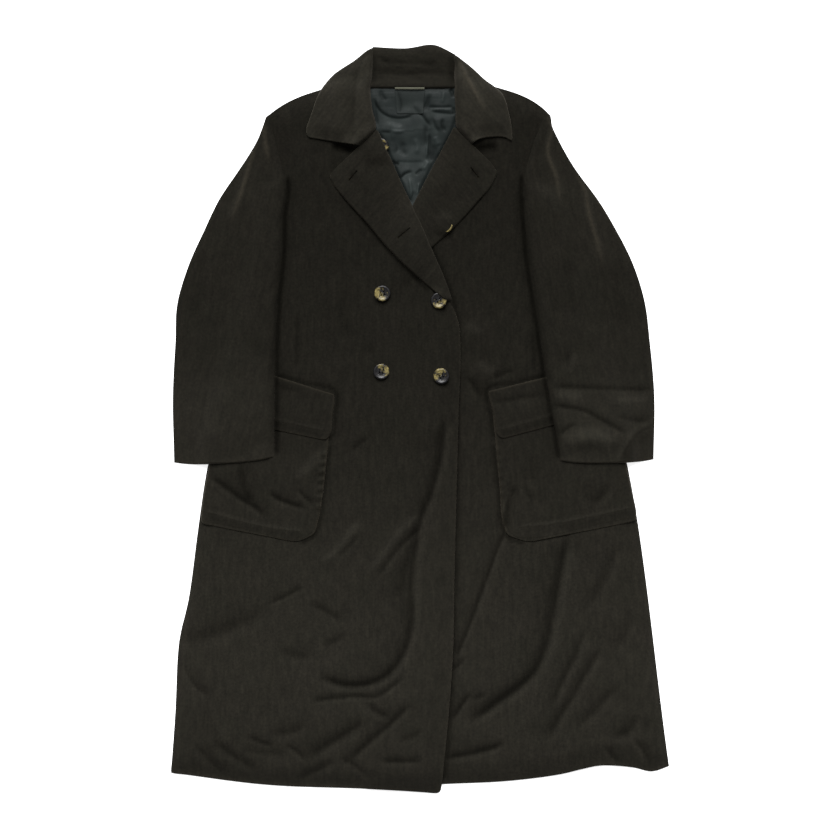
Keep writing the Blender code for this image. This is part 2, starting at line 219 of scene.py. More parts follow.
def stretched(tree, vector, factors):
    """The vector with each of its parts multiplied by a factor."""
    node = tree.nodes.new("ShaderNodeVectorMath")
    node.operation = "MULTIPLY"
    feed(tree, node.inputs[0], vector)
    feed(tree, node.inputs[1], factors)
    return node.outputs[0]


def noise(tree, vector, scale, rough, detail=NOISE_DETAIL, distortion=0.0):
    """Cloudy noise about 0.5. Returns its output."""
    return add_node(tree, "ShaderNodeTexNoise", Vector=vector, Scale=scale, Detail=detail, Roughness=rough,
                    Distortion=distortion).outputs[0]


def shader_group(name, inputs, outputs):
    """An empty node group. An input without a value is a vector, every other socket a number."""
    group = bpy.data.node_groups.new(name, "ShaderNodeTree")
    for socket, value in inputs.items():
        kind = "NodeSocketVector" if value is None else "NodeSocketFloat"
        made = group.interface.new_socket(socket, in_out="INPUT", socket_type=kind)
        if value is not None:
            made.default_value = value
    for socket in outputs:
        group.interface.new_socket(socket, in_out="OUTPUT", socket_type="NodeSocketFloat")
    inlet = group.nodes.new("NodeGroupInput")
    outlet = group.nodes.new("NodeGroupOutput")
    return group, inlet.outputs, outlet.inputs


def place_group(tree, group, **values):
    """The group as a node in a material, with its inputs fed by name. Returns its outputs."""
    node = tree.nodes.new("ShaderNodeGroup")
    node.node_tree = group
    set_sockets(tree, node.inputs, **values)
    return node.outputs


print("noise detail", NOISE_DETAIL)

# %% Weave group
TWILL_STEEP = 2.0
STREAK_STRETCH = (1.0, 0.07, 1.0)
STREAK_ROUGH = 0.6
FUZZ_SCALE = 900.0
FUZZ_ROUGH = 0.7
RIB_HEIGHT = 0.10
FUZZ_HEIGHT = 1.2
STREAK_HEIGHT = 0.8


def make_weave_group():
    """Twill ribs as a height, and uneven threads along the grain as a tone from 0 to 1."""
    group, inlet, outlet = shader_group(
        "twill_weave", {"Grain": None, "Rib Pitch": 0.0012, "Streak Width": 0.003}, ("Height", "Tone"))
    across = add_node(group, "ShaderNodeSeparateXYZ", Vector=inlet["Grain"]).outputs
    slanted = math_node(group, "MULTIPLY_ADD", across["X"], TWILL_STEEP, across["Y"])
    ribs = math_node(group, "DIVIDE", slanted, inlet["Rib Pitch"])
    rib = math_node(group, "SINE", math_node(group, "MULTIPLY", ribs, math.tau))
    streak_scale = math_node(group, "DIVIDE", 1.0, inlet["Streak Width"])
    streak = noise(group, stretched(group, inlet["Grain"], STREAK_STRETCH), streak_scale, STREAK_ROUGH)
    fuzz = noise(group, inlet["Grain"], FUZZ_SCALE, FUZZ_ROUGH)
    height = math_node(group, "MULTIPLY", rib, RIB_HEIGHT)
    height = math_node(group, "MULTIPLY_ADD", fuzz, FUZZ_HEIGHT, height)
    height = math_node(group, "MULTIPLY_ADD", streak, STREAK_HEIGHT, height)
    set_sockets(group, outlet, Height=height, Tone=streak)
    return group


weave_group = make_weave_group()
print("weave nodes", len(weave_group.nodes))

# %% Mottle group
MOTTLE_ROUGH = 0.55
MOTTLES = {"Patches": ("Patch Scale", 2.2), "Flecks": ("Fleck Scale", 2.0)}


def make_mottle_group():
    """Soft cloudy patches of dye from 0 to 1, with finer flecks in them."""
    group, inlet, outlet = shader_group(
        "dye_mottle", {"Vector": None, "Patch Scale": 22.0, "Fleck Scale": 260.0}, MOTTLES)
    for name, (scale, contrast) in MOTTLES.items():
        cloud = noise(group, inlet["Vector"], inlet[scale], MOTTLE_ROUGH)
        centred = math_node(group, "SUBTRACT", cloud, 0.5)
        feed(group, outlet[name], math_node(group, "MULTIPLY_ADD", centred, contrast, 0.5, clamp=True))
    return group


mottle_group = make_mottle_group()
print("groups", [group.name for group in bpy.data.node_groups])

# %% Wool finish
WOOL_DYES = ((0.0125, 0.0118, 0.0090, 1), (0.0138, 0.0126, 0.0099, 1))
BRUSHED_TONES = ((0.82, 0.82, 0.82, 1), (1.18, 1.18, 1.17, 1))
FLECK_TONES = ((0.76, 0.76, 0.76, 1), (1.26, 1.24, 1.20, 1))
STREAK_TONES = ((0.72, 0.72, 0.72, 1), (1.28, 1.27, 1.25, 1))
BRUSH_STRETCH = (1.0, 0.3, 1.0)
# Wear and painted highlight: the paler colour at edges and on raised folds, and how much of it shows.
WORN_AND_LIT_COLOUR = (0.040, 0.034, 0.024, 1)
WORN_AND_LIT_SHARE = 0.30
WORN_AND_LIT_CONTRAST = 0.6
WORN_AND_LIT_LEAST = 0.5
WOOL_ROUGH = 0.78
WOOL_ROUGH_SPREAD = 0.2
WOOL_BUMP = {"strength": 0.35, "depth": 0.0006}
WOOL_GLOSS = 0.06
SHEEN_ROUGH = 0.45
SHEEN_TINT = (1.0, 0.90, 0.74, 1.0)


def cloth_bump(tree, height, strength, depth):
    """Normal from a height in the same units as depth."""
    return add_node(tree, "ShaderNodeBump", Height=height, Strength=strength, Distance=depth).outputs[0]


def grain_map(tree):
    """The shell's own UV map, in metres along its threads."""
    node = tree.nodes.new("ShaderNodeUVMap")
    node.uv_map = "grain"
    return node.outputs[0]


def place_in_metres(tree):
    """Where a point lies on the coat."""
    return tree.nodes.new("ShaderNodeTexCoord").outputs["Object"]


def mask(tree, name):
    """A value that the shell carries at its points."""
    node = tree.nodes.new("ShaderNodeAttribute")
    node.attribute_name = name
    return node.outputs["Fac"]


def make_wool():
    """Dark olive-brown short-napped wool twill, with wear and painted highlight at edges, and painted shade.
    """
    material, tree, surface = new_finish("coat_cloth")
    grain = grain_map(tree)
    painted_shading = mask(tree, "painted_shading")
    weave = place_group(tree, weave_group, Grain=grain, Rib_Pitch=0.0014, Streak_Width=0.0032)
    mottle = place_group(tree, mottle_group, Vector=place_in_metres(tree), Patch_Scale=20.0,
                         Fleck_Scale=260.0)
    brushed = place_group(tree, mottle_group, Vector=stretched(tree, grain, BRUSH_STRETCH),
                          Patch_Scale=130.0, Fleck_Scale=520.0)
    colour = mix_colour(tree, mottle["Patches"], *WOOL_DYES)
    colour = toned(tree, colour, brushed["Patches"], BRUSHED_TONES)
    colour = toned(tree, colour, mottle["Flecks"], FLECK_TONES)
    colour = toned(tree, colour, weave["Tone"], STREAK_TONES)
    # Paler along edges and raised folds: wear, and a painted highlight where the turned cloth catches the
    # lamp.
    patchy = math_node(tree, "MULTIPLY_ADD", mottle["Flecks"], WORN_AND_LIT_CONTRAST, WORN_AND_LIT_LEAST)
    worn_and_lit = math_node(tree, "MULTIPLY", mask(tree, "edge"), patchy)
    colour = mix_colour(tree, math_node(tree, "MULTIPLY", worn_and_lit, WORN_AND_LIT_SHARE), colour, WORN_AND_LIT_COLOUR)
    # Painted shade and painted highlight from the shell's values darken or brighten the colour and the gloss.
    colour = mix_colour(tree, 1.0, colour, painted_shading, "MULTIPLY")
    rough = math_node(tree, "MULTIPLY_ADD", weave["Tone"], WOOL_ROUGH_SPREAD, WOOL_ROUGH)
    gloss = math_node(tree, "MULTIPLY", painted_shading, WOOL_GLOSS)
    set_sockets(tree, surface, Base_Color=colour, Roughness=rough, Specular_IOR_Level=gloss,
                Normal=cloth_bump(tree, weave["Height"], **WOOL_BUMP), Sheen_Weight=gloss,
                Sheen_Roughness=SHEEN_ROUGH, Sheen_Tint=SHEEN_TINT)
    return material


wool = make_wool()
print("wool nodes", len(wool.node_tree.nodes))

# %% Lining and label finishes
THREAD_TONES = ((0.80, 0.80, 0.80, 1), (1.2, 1.2, 1.2, 1))
SATIN_ROUGH_SPREAD = 0.16
SATIN_BUMP = {"strength": 0.12, "depth": 0.0003}
SATIN_GLOSS = 0.14
SATIN_SHEEN = 0.02


def make_satin(name, dyes, rough, streak_width):
    """Smooth lining cloth: two close colours in cloudy patches, thread lines and a soft gloss."""
    material, tree, surface = new_finish(name)
    painted_shading = mask(tree, "painted_shading")
    weave = place_group(tree, weave_group, Grain=grain_map(tree), Rib_Pitch=0.0008, Streak_Width=streak_width)
    mottle = place_group(tree, mottle_group, Vector=place_in_metres(tree), Patch_Scale=60.0,
                         Fleck_Scale=420.0)
    colour = mix_colour(tree, mottle["Patches"], *dyes)
    colour = toned(tree, colour, weave["Tone"], THREAD_TONES)
    # Painted shade and painted highlight from the shell's values, on the colour and the gloss.
    colour = mix_colour(tree, 1.0, colour, painted_shading, "MULTIPLY")
    set_sockets(tree, surface, Base_Color=colour, Sheen_Weight=SATIN_SHEEN,
                Roughness=math_node(tree, "MULTIPLY_ADD", mottle["Flecks"], SATIN_ROUGH_SPREAD, rough),
                Specular_IOR_Level=math_node(tree, "MULTIPLY", painted_shading, SATIN_GLOSS),
                Normal=cloth_bump(tree, weave["Height"], **SATIN_BUMP))
    return material


LINING_DYES = ((0.0110, 0.0148, 0.0142, 1), (0.0176, 0.0226, 0.0213, 1))
LABEL_DYES = ((0.0130, 0.0170, 0.0161, 1), (0.0178, 0.0224, 0.0209, 1))
CREAM_DYES = ((0.062, 0.063, 0.044, 1), (0.085, 0.085, 0.062, 1))
satin = make_satin("lining_cloth", LINING_DYES, 0.50, 0.0018)
label_weave = make_satin("label_cloth", LABEL_DYES, 0.55, 0.0012)
cream_weave = make_satin("label_edge_cloth", CREAM_DYES, 0.70, 0.0012)
finishes = {"coat_cloth": wool, "lining_cloth": satin, "label_cloth": label_weave}
print("finishes", sorted(finishes))

# %% [markdown]
# The outline of a piece
#
# A solid in the frame is a flat wall of cloth, so the rim of its underside is the cut outline of
# that piece. Reading it from the frame keeps both models the same size. The rim is split at four
# corners into a top, a right, a bottom and a left side, each side becomes a smooth curve, and a
# Coons patch fills the four curves with an even grid. A triangulated fill would also close the
# outline, but creases need rows and columns that follow the cloth.

# %% Read an outline
SAME_POINT = 1e-6
UPPER_SLOPE = 0.5
UNDERSIDE_SLOPE = -0.6
LEVEL_SLOPE = -0.9
DOUBLES_BACK = -0.64
MOST_TRIM = 0.4
TRIM_GAP = 0.01
ARC_SHARES = (0.25, 0.5, 0.75)


def unit(vectors):
    """Vectors of length 1."""
    return vectors / np.linalg.norm(vectors, axis=-1, keepdims=True)


def without_spikes(ring):
    """The ring without points where it doubles back on itself."""
    while True:
        arrive = unit(ring - np.roll(ring, 1, axis=0))
        leave = unit(np.roll(ring, -1, axis=0) - ring)
        ahead = (arrive * leave).sum(axis=1)
        if ahead.min() > DOUBLES_BACK:
            return ring
        ring = np.delete(ring, ahead.argmin(), axis=0)


def outline_of(node):
    """Rim of a node's underside, without its walls, as a closed row of points, in millimetres."""
    solid = bmesh.new()
    solid.from_mesh(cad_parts[node].data)
    bmesh.ops.remove_doubles(solid, verts=solid.verts[:], dist=SAME_POINT)
    solid.normal_update()
    raised = {corner for face in solid.faces if face.normal.z > UPPER_SLOPE for corner in face.verts}
    under = {face for face in solid.faces if face.normal.z < LEVEL_SLOPE
             or face.normal.z < UNDERSIDE_SLOPE and not raised.intersection(face.verts)}
    rim = {corner for face in under for corner in face.loops
           if corner.link_loop_radial_next.face not in under}
    rings = []
    while rim:
        start = corner = rim.pop()
        ring = []
        while corner != start or not ring:
            ring.append(corner.vert.co.xy / MM)
            rim.discard(corner)
            corner = corner.link_loop_next
            while corner.link_loop_radial_next.face in under:
                corner = corner.link_loop_radial_next.link_loop_next
        rings.append(ring)
    points = np.array(max(rings, key=len))
    solid.free()
    return without_spikes(points)


def places_along(points):
    """Length of a row of points up to each of them."""
    return np.concatenate([[0.0], np.cumsum(np.linalg.norm(np.diff(points, axis=0), axis=1))])


def trimmed(line, reach):
    """The line without its first stretch of the given length, and the point where it is cut."""
    length = places_along(line)
    reach = min(reach, MOST_TRIM * length[-1])
    start = np.array([np.interp(reach, length, line[:, axis]) for axis in (0, 1)])
    return np.vstack([start, line[length > reach + TRIM_GAP]])


def rounded_off(sides, rounding):
    """Four sides in a ring with each corner turned into an arc of the given reach."""
    sharp = [side[0] for side in sides]
    cut = [trimmed(trimmed(side, begin)[::-1], end)[::-1]
           for side, begin, end in zip(sides, rounding, np.roll(rounding, -1))]
    for number, corner in enumerate(sharp):
        before = cut[number - 1][-1]
        after = cut[number][0]
        arc = [(1 - t) ** 2 * before + 2 * t * (1 - t) * corner + t * t * after for t in ARC_SHARES]
        cut[number - 1] = np.vstack([cut[number - 1], arc[0], arc[1]])
        cut[number] = np.vstack([arc[1], arc[2], cut[number]])
    return cut


def sides_of(node, corners, rounding):
    """Top, right, bottom and left side of a node's outline, its corners rounded off.

    Rounding is one length for all four corners, or one for each, from the first corner on.
    """
    ring = outline_of(node)
    places = [int(np.linalg.norm(ring - np.array(corner, dtype=float), axis=1).argmin())
              for corner in corners]
    ring = np.roll(ring, -places[0], axis=0)
    places = [(place - places[0]) % len(ring) for place in places]
    if places[1] > places[2]:
        ring = np.roll(ring[::-1], 1, axis=0)
        places = [(-place) % len(ring) for place in places]
    stops = places[1:] + [len(ring)]
    closed = np.vstack([ring, ring[:1]])
    sides = [closed[begin:end + 1] for begin, end in zip(places, stops)]
    rounding = np.broadcast_to(rounding, 4)
    if rounding.any():
        sides = rounded_off(sides, rounding)
    return sides[0], sides[1], sides[2][::-1], sides[3][::-1]


print("rim of the right front has", len(outline_of("front_right")), "points")

# %% Smooth curves and the patch between them
CURVE_STEPS = 8
EDGE_STEPS = (0.0, 0.5, 1.2, 2.2, 3.6, 5.4)
MOST_EDGE = 0.3


def curve_points(points):
    """Close points on a smooth curve through the given ones."""
    points = np.asarray(points, dtype=float)
    if len(points) < 3:
        t = np.linspace(0.0, 1.0, 3 * CURVE_STEPS)[:, None]
        return points[0] * (1 - t) + points[-1] * t
    place = places_along(points)
    slope = np.gradient(points, place, axis=0)
    close = [points[:1]]
    t = (np.arange(1, CURVE_STEPS + 1) / CURVE_STEPS)[:, None]
    for k, length in enumerate(np.diff(place)):
        start = (1 + 2 * t) * (1 - t) ** 2
        end = t * t * (3 - 2 * t)
        leave = t * (1 - t) ** 2 * length
        arrive = t * t * (t - 1) * length
        close.append(start * points[k] + end * points[k + 1] + leave * slope[k] + arrive * slope[k + 1])
    return np.vstack(close)


def along(points, shares):
    """Points at the given shares of a curve's length."""
    place = places_along(points)
    return np.stack([np.interp(np.asarray(shares) * place[-1], place, points[:, axis])
                     for axis in range(points.shape[1])], axis=1)


def length_of(points):
    """Length of a row of points."""
    return np.linalg.norm(np.diff(points, axis=0), axis=1).sum()


def even_points(path, step, least):
    """Points on the smooth curve through a path, about one step apart."""
    line = curve_points(path)
    return along(line, np.linspace(0.0, 1.0, max(least, int(length_of(line) / step))))


def grid_shares(length, spacing):
    """Places of grid lines along a side: close together near both ends, even between them."""
    near = np.array([step for step in EDGE_STEPS if step < MOST_EDGE * length])
    inner = np.linspace(near[-1], length - near[-1], max(2, round((length - 2 * near[-1]) / spacing)))
    return np.concatenate([near[:-1], inner, length - near[:-1][::-1]]) / length


def patch(sides, spacing):
    """Grid of points (rows from top to bottom) that fills four sides, and its two rows of shares."""
    top, right, bottom, left = (curve_points(side) for side in sides)
    u = grid_shares(max(length_of(top), length_of(bottom)), spacing)
    v = grid_shares(max(length_of(left), length_of(right)), spacing)
    top, bottom = along(top, u)[None], along(bottom, u)[None]
    left, right = along(left, v)[:, None], along(right, v)[:, None]
    across, down = u[None, :, None], v[:, None, None]
    ruled = (1 - down) * top + down * bottom + (1 - across) * left + across * right
    corners = ((1 - down) * ((1 - across) * top[:, :1] + across * top[:, -1:])
               + down * ((1 - across) * bottom[:, :1] + across * bottom[:, -1:]))
    return ruled - corners, u, v


print("grid lines on a side of 100 mm", len(grid_shares(100.0, 4.0)))

# %% [markdown]
# Laying one piece on another
#
# Cloth rests on what is under it, but it doesn't follow every small step: it bridges it in a soft
# slope. A cloth simulation could find that, at the cost of minutes for each of a dozen layers.
# Here a height map of the table does it: the map is widened a little and blurred, and the next
# piece takes its heights from that. When the piece is done, the map is raised to its top.

# %% Height map
CELL = 2.0
MAP_HALF = (460.0, 660.0)
WIDEN_CELLS = 4
BLUR_CELLS = 2.4
CLING_BLUR = 0.7
DRAPE_BLUR = 1.8
BESIDE_CELLS = 5
BESIDE_BLUR = 1.5
LAYER_GAP = 0.3
FILL_SHARES = (0.0, 1 / 3, 2 / 3, 1.0)


def widened(values, cells, pick):
    """Largest or smallest value of the map within so many cells, by the pick function."""
    for _ in range(cells):
        for axis in (0, 1):
            values = pick(values, pick(np.roll(values, 1, axis), np.roll(values, -1, axis)))
    return values


def blurred(values, cells):
    """The map with a Gaussian blur."""
    reach = int(3 * cells)
    weights = np.exp(-0.5 * (np.arange(-reach, reach + 1) / cells) ** 2)
    weights /= weights.sum()
    for axis in (0, 1):
        values = sum(weight * np.roll(values, step - reach, axis) for step, weight in enumerate(weights))
    return values


def read_map(values, points):
    """Values of a map at points, straight between the cells' centres."""
    places = (points + np.array(MAP_HALF)) / CELL
    cell = np.floor(places).astype(int)
    part = places - cell
    total = 0.0
    for right in (0, 1):
        for up in (0, 1):
            weight = np.abs(1 - right - part[..., 0]) * np.abs(1 - up - part[..., 1])
            total = total + weight * values[cell[..., 0] + right, cell[..., 1] + up]
    return total


class TableMap:
    """Top of everything laid so far, in millimetres above the table."""

    def __init__(self):
        self.top = np.zeros([int(2 * half / CELL) + 1 for half in MAP_HALF])

    def settle(self, points):
        """Heights at which a soft sheet rests over the points."""
        soft = blurred(widened(self.top, WIDEN_CELLS, np.maximum), BLUR_CELLS)
        least = widened(self.top, 1, np.maximum)
        return np.maximum(read_map(soft, points), read_map(least, points) + LAYER_GAP)

    def cling(self, points, blur=CLING_BLUR):
        """Heights at which a thin sheet rests that follows what is under it."""
        return read_map(blurred(widened(self.top, 1, np.maximum), blur), points) + LAYER_GAP

    def drape(self, points):
        """Heights at which a soft sheet rests that is pressed down beside a small thing under it."""
        return self.cling(points, DRAPE_BLUR)

    def beside(self, points):
        """Heights of what lies just beside the points, for an edge that turns down to it."""
        return read_map(blurred(widened(self.top, BESIDE_CELLS, np.minimum), BESIDE_BLUR), points)

    def raise_to(self, points, heights):
        """Raise the map to a new grid of points."""
        near, far = slice(None, -1), slice(1, None)
        for s in FILL_SHARES:
            for t in FILL_SHARES:
                corners = (((1 - s) * (1 - t), (near, near)), (s * (1 - t), (far, near)),
                           ((1 - s) * t, (near, far)), (s * t, (far, far)))
                place = sum(weight * points[where] for weight, where in corners)
                height = sum(weight * heights[where] for weight, where in corners)
                cell = np.rint((place + np.array(MAP_HALF)) / CELL).astype(int)
                np.maximum.at(self.top, (cell[..., 0], cell[..., 1]), height)


table = TableMap()
print("table map", table.top.shape, "cells of", CELL, "mm")

# %% [markdown]
# Creases
#
# Each crease is listed as a few points of its path in millimetres, its width, its depth and
# its lean. With no lean it is a soft trough, or a soft ridge if the depth is negative. Cloth that
# is pushed sideways rolls over, so with a lean above 0 the cloth stands higher on the left of the
# path and falls steeply to its right. Both sides then level out slowly, over several widths, and
# a low crest stands at the foot of the fall. A crease fades at its ends over a few of its own
# widths. Each crease also paints light and shade into the cloth's colour: a trough is painted
# darker and a ridge paler, and a rolled one is painted dark slowly up its high side, with a
# painted highlight on its crest.
# Sculpting by hand would give the same shapes, but a table can be read, moved and scaled.

# %% Crease profile
Crease = namedtuple("Crease", "path width depth lean", defaults=(0.0,))
LEFT_HIGH = 0.75
RIGHT_HIGH = -0.75
CREASE_STEP = 5.0
LEAST_CREASE_POINTS = 8
STEEPNESS = 1.3
LEVEL_OUT = 4.5
CREASE_REACH = 9.0
FADE_WIDTHS = 4.5
MOST_FADE = 0.3
# Painted shade in troughs and down a roll's high side, painted highlight on ridges and crests.
FULL_SHADE = 0.6
SHADE_WIDTH = 0.9
SHOULDER_WIDTH = 3.6
SHOULDER_SHARE = 0.45
MOST_SHADE = 1.4
MOST_SUM = 2.4
RIDGE_LIGHT = -0.75
CREASE_SHADE = 0.29
ROLL_SHADE = 1.05
HIGH_SIDE = 2.3
LOW_SIDE = 0.6
CREST_PLACE = 1.35
CREST_WIDTH = 0.75
LEAST_CREST = 3.2
CREST_RISE = 0.16
CREST_LIGHT = 0.65
SHORT_WAVE = 28.0
LONG_WAVE = 150.0
WAVE_COUNT = 16
WAVE_POWER = 0.7
WAVE_SHARE = 0.5


def smooth_step(values):
    """0 below 0, 1 above 1, smooth between."""
    t = np.clip(values, 0.0, 1.0)
    return t * t * (3 - 2 * t)


def beside_path(points, path, reach):
    """Which points lie near a path, how far to its left they are, and their share of its length."""
    line = even_points(path, CREASE_STEP, LEAST_CREASE_POINTS)
    near = np.all((points > line.min(axis=0) - reach) & (points < line.max(axis=0) + reach), axis=1)
    offset = points[near][:, None] - line[None]
    closest = np.linalg.norm(offset, axis=2).argmin(axis=1)
    gap = offset[np.arange(len(closest)), closest]
    step = np.gradient(line, axis=0)
    heading = unit(step)[closest]
    left = heading[:, 0] * gap[:, 1] - heading[:, 1] * gap[:, 0]
    ahead = (heading * gap).sum(axis=1) / np.linalg.norm(step, axis=1)[closest]
    share = np.clip((closest + ahead) / (len(line) - 1), 0.0, 1.0)
    return near, left, share


def crease_relief(points, creases):
    """Sum of the creases' heights at a grid of points, and the painted light and shade they leave."""
    flat = points.reshape(-1, 2)
    height = np.zeros(len(flat))
    shade = np.zeros(len(flat))
    for crease in creases:
        near, left, share = beside_path(flat, crease.path, CREASE_REACH * crease.width)
        t = left / crease.width
        span = length_of(curve_points(crease.path))
        fade = min(FADE_WIDTHS * crease.width, MOST_FADE * span)
        taper = smooth_step(np.minimum(share, 1 - share) * span / fade)
        fall = np.tanh(STEEPNESS * t) * np.exp(-(t / LEVEL_OUT) ** 2)
        trough = np.exp(-t ** 2)
        height[near] += crease.depth * taper * (crease.lean * fall - (1 - abs(crease.lean)) * trough)
        strength = np.clip(crease.depth / (FULL_SHADE * crease.width), RIDGE_LIGHT, MOST_SHADE)
        if crease.lean and crease.depth > 0.0:
            uphill = t * np.sign(crease.lean)
            slope = ROLL_SHADE * np.where(uphill > 0.0, np.exp(-np.abs(uphill) / HIGH_SIDE),
                                          np.exp(-(uphill / LOW_SIDE) ** 2))
            crest_width = max(CREST_WIDTH, LEAST_CREST / crease.width)
            crest = np.exp(-((uphill + CREST_PLACE) / crest_width) ** 2)
            height[near] += CREST_RISE * crease.depth * taper * crest
            profile = slope - CREST_LIGHT * crest
        else:
            shoulder = SHOULDER_SHARE * np.exp(-(t / SHOULDER_WIDTH) ** 2)
            profile = np.exp(-(t / SHADE_WIDTH) ** 2) + shoulder
        shade[near] += np.clip(strength * taper * profile, -MOST_SHADE, MOST_SHADE)
    kept = 1 - CREASE_SHADE * np.clip(shade, RIDGE_LIGHT, MOST_SUM)
    return height.reshape(points.shape[:-1]), kept.reshape(points.shape[:-1])


def soft_waves(points, seed):
    """Gentle unevenness of soft cloth, about 1 in height, from a few seeded waves."""
    draw = np.random.default_rng(seed)
    total = np.zeros(points.shape[:-1])
    for wave_length in np.geomspace(SHORT_WAVE, LONG_WAVE, WAVE_COUNT):
        turn, phase = draw.uniform(0.0, math.tau, 2)
        place = points @ np.array([math.cos(turn), math.sin(turn)])
        size = (wave_length / LONG_WAVE) ** WAVE_POWER
        total += size * np.cos(place * math.tau / wave_length + phase)
    return WAVE_SHARE * total


print("a crease reaches", CREASE_REACH, "widths to each side")

# %% [markdown]
# One shell of cloth
#
# A panel is a grid of points with a top and an underside that share their rim, so the shell is
# closed. What happens at the rim depends on the edge. A cut edge is rounded like the turned edge
# of thick wool. A fold goes round to the hidden side, so the shell curls down to what lies
# beside it. A sewn edge slopes down softly into its seam. A tucked edge is drawn back under
# another piece. One side can change from one kind to another on its way down, as a front edge
# does where the lapel ends.

# %% Edges of a panel
# How far the top rounds over, how much of its height it drops to what lies beside it, the share of
# air kept under it, how far it is drawn in, how pale its rim is from wear and painted highlight,
# and a profile from soft (0) to round (1).
Edge = namedtuple("Edge", "round_over drop air tuck wear curl", defaults=(0.0, 0.0, 0.0, 1.0))
Side = namedtuple("Side", "upper lower change_y")

CUT = Edge(2.0, 0.0, 0.0, wear=0.55)
LIFTED = Edge(2.0, 0.0, 0.05, wear=0.6)
FOLD = Edge(13.0, 1.0, 0.15)
LEFT_ROLL = Edge(6.0, 1.0, 0.6, tuck=-3.0, wear=0.25)
RIGHT_ROLL = Edge(6.0, 1.0, 0.6, tuck=-1.5, wear=0.25)
SEAM = Edge(15.0, 1.0, 0.0, curl=0.0)
HIDDEN = Edge(2.0, 0.0, 0.0, tuck=7.0)
LAPPED = Edge(2.0, 0.0, 0.0, tuck=-7.0)
CAP = Edge(4.0, 1.0, 0.1, tuck=-6.0)
FADED = Edge(42.0, 0.0, 0.0, curl=0.0)
SEWN_DOWN = Edge(2.4, 1.0, 0.0, wear=1.7)
DRAWN_IN = Edge(2.4, 1.0, 0.0, tuck=5.5, wear=1.7)
TURNED = Edge(3.0, 1.0, 0.0, wear=0.55)
CUFF = Edge(3.0, 1.0, 0.0, wear=1.6)
CUFF_RIM = Edge(2.0, 1.0, 0.0, tuck=-2.0, wear=1.0)
UNDER_STAND = Edge(2.0, 0.0, 1.0, tuck=-4.0)
LABEL_EDGE = Edge(1.0, 0.0, 0.0)
NECK_SEAM = Edge(5.0, 0.3, 0.0)
LAPEL_END = Edge(7.0, 1.0, 0.0, curl=0.0)
WING_FOLD = Edge(10.0, 1.0, 0.9)
WING_OUTER = Edge(5.0, 1.0, 0.1)
print("a fold rounds over", FOLD.round_over, "mm, a cut edge over", CUT.round_over, "mm")


# %% Shell mesh
def shell_faces(rows, columns):
    """Corner numbers of the quads of a closed shell: its top, then its underside on the same rim."""
    inner = (rows - 2, columns - 2)
    upper = np.arange(rows * columns).reshape(rows, columns)
    lower = upper.copy()
    lower[1:-1, 1:-1] = rows * columns + np.arange(inner[0] * inner[1]).reshape(inner)
    near, far = slice(None, -1), slice(1, None)
    quads = []
    for grid, order in ((upper, 1), (lower, -1)):
        ring = (grid[far, near], grid[far, far], grid[near, far], grid[near, near])[::order]
        quads.append(np.stack([corner.ravel() for corner in ring], axis=1))
    return np.vstack(quads)


def make_shell(name, points, top, under, edge, painted_shading, grain, finish):
    """Closed mesh between a top and an underside that meet at the rim."""
    rows, columns = top.shape
    upper = np.dstack([points, top]).reshape(-1, 3)
    lower = np.dstack([points, under])[1:-1, 1:-1].reshape(-1, 3)
    places = np.vstack([upper, lower]) * MM
    mesh = bpy.data.meshes.new(name)
    mesh.from_pydata(places.tolist(), [], shell_faces(rows, columns).tolist())
    corners = np.empty(len(mesh.loops), dtype=int)
    mesh.loops.foreach_get("vertex_index", corners)
    cosine, sine = math.cos(math.radians(grain)), math.sin(math.radians(grain))
    threads = places[:, :2] @ np.array([[cosine, -sine], [sine, cosine]])
    mesh.uv_layers.new(name="grain").data.foreach_set("uv", threads[corners].ravel())
    # The edge value is wear and painted highlight; the other is painted shade and painted highlight.
    for label, values in (("edge", edge), ("painted_shading", painted_shading)):
        carried = mesh.attributes.new(label, "FLOAT", "POINT")
        carried.data.foreach_set("value", np.concatenate([values.ravel(), values[1:-1, 1:-1].ravel()]))
    mesh.materials.append(finish)
    mesh.shade_smooth()
    return mesh


print("quads of a shell on 3 x 3 points", len(shell_faces(3, 3)))

# %% Lay one panel
Sheet = namedtuple("Sheet", "piece wide long area rests_on sewn_on")
sheets = {}
COAT_CLOTH = 2.4
TURNED_CLOTH = 3.0
SLEEVE_CLOTH = 1.4
LINING_CLOTH = 1.2
POCKET_CLOTH = 1.0
LABEL_CLOTH = 0.2
SPACING = 4.0
NO_PAINTED_SHADE = ((0.0, 1.0),)
WORN_AND_LIT_WIDTH = 3.0
WORN_AND_LIT_REACH = 4.0
WORN_AND_LIT_STRENGTH = 1.7
WORN_AND_LIT_FADE = 0.8
CHANGE_BAND = 50.0
TUCK_FADE = 70.0
AIR_REACH = 34.0
EDGE_WEAR_AND_LIGHT = 2.6
SOFTNESS = 0.5
RIM_LEVEL = 0.4
LEAST_RADIUS = 0.01
LEAST_CLOTH = 0.9


def cut_size(points, top):
    """Width, length and area of the cloth in a laid grid, in metres: what the cutter drew flat."""
    cloth = np.dstack([points, top]) * MM
    across = np.linalg.norm(np.diff(cloth, axis=1), axis=2).sum(axis=1).max()
    down = np.linalg.norm(np.diff(cloth, axis=0), axis=2).sum(axis=0).max()
    first = cloth[1:, 1:] - cloth[:-1, :-1]
    second = cloth[1:, :-1] - cloth[:-1, 1:]
    area = 0.5 * np.linalg.norm(np.cross(first, second), axis=2).sum()
    return across, down, area


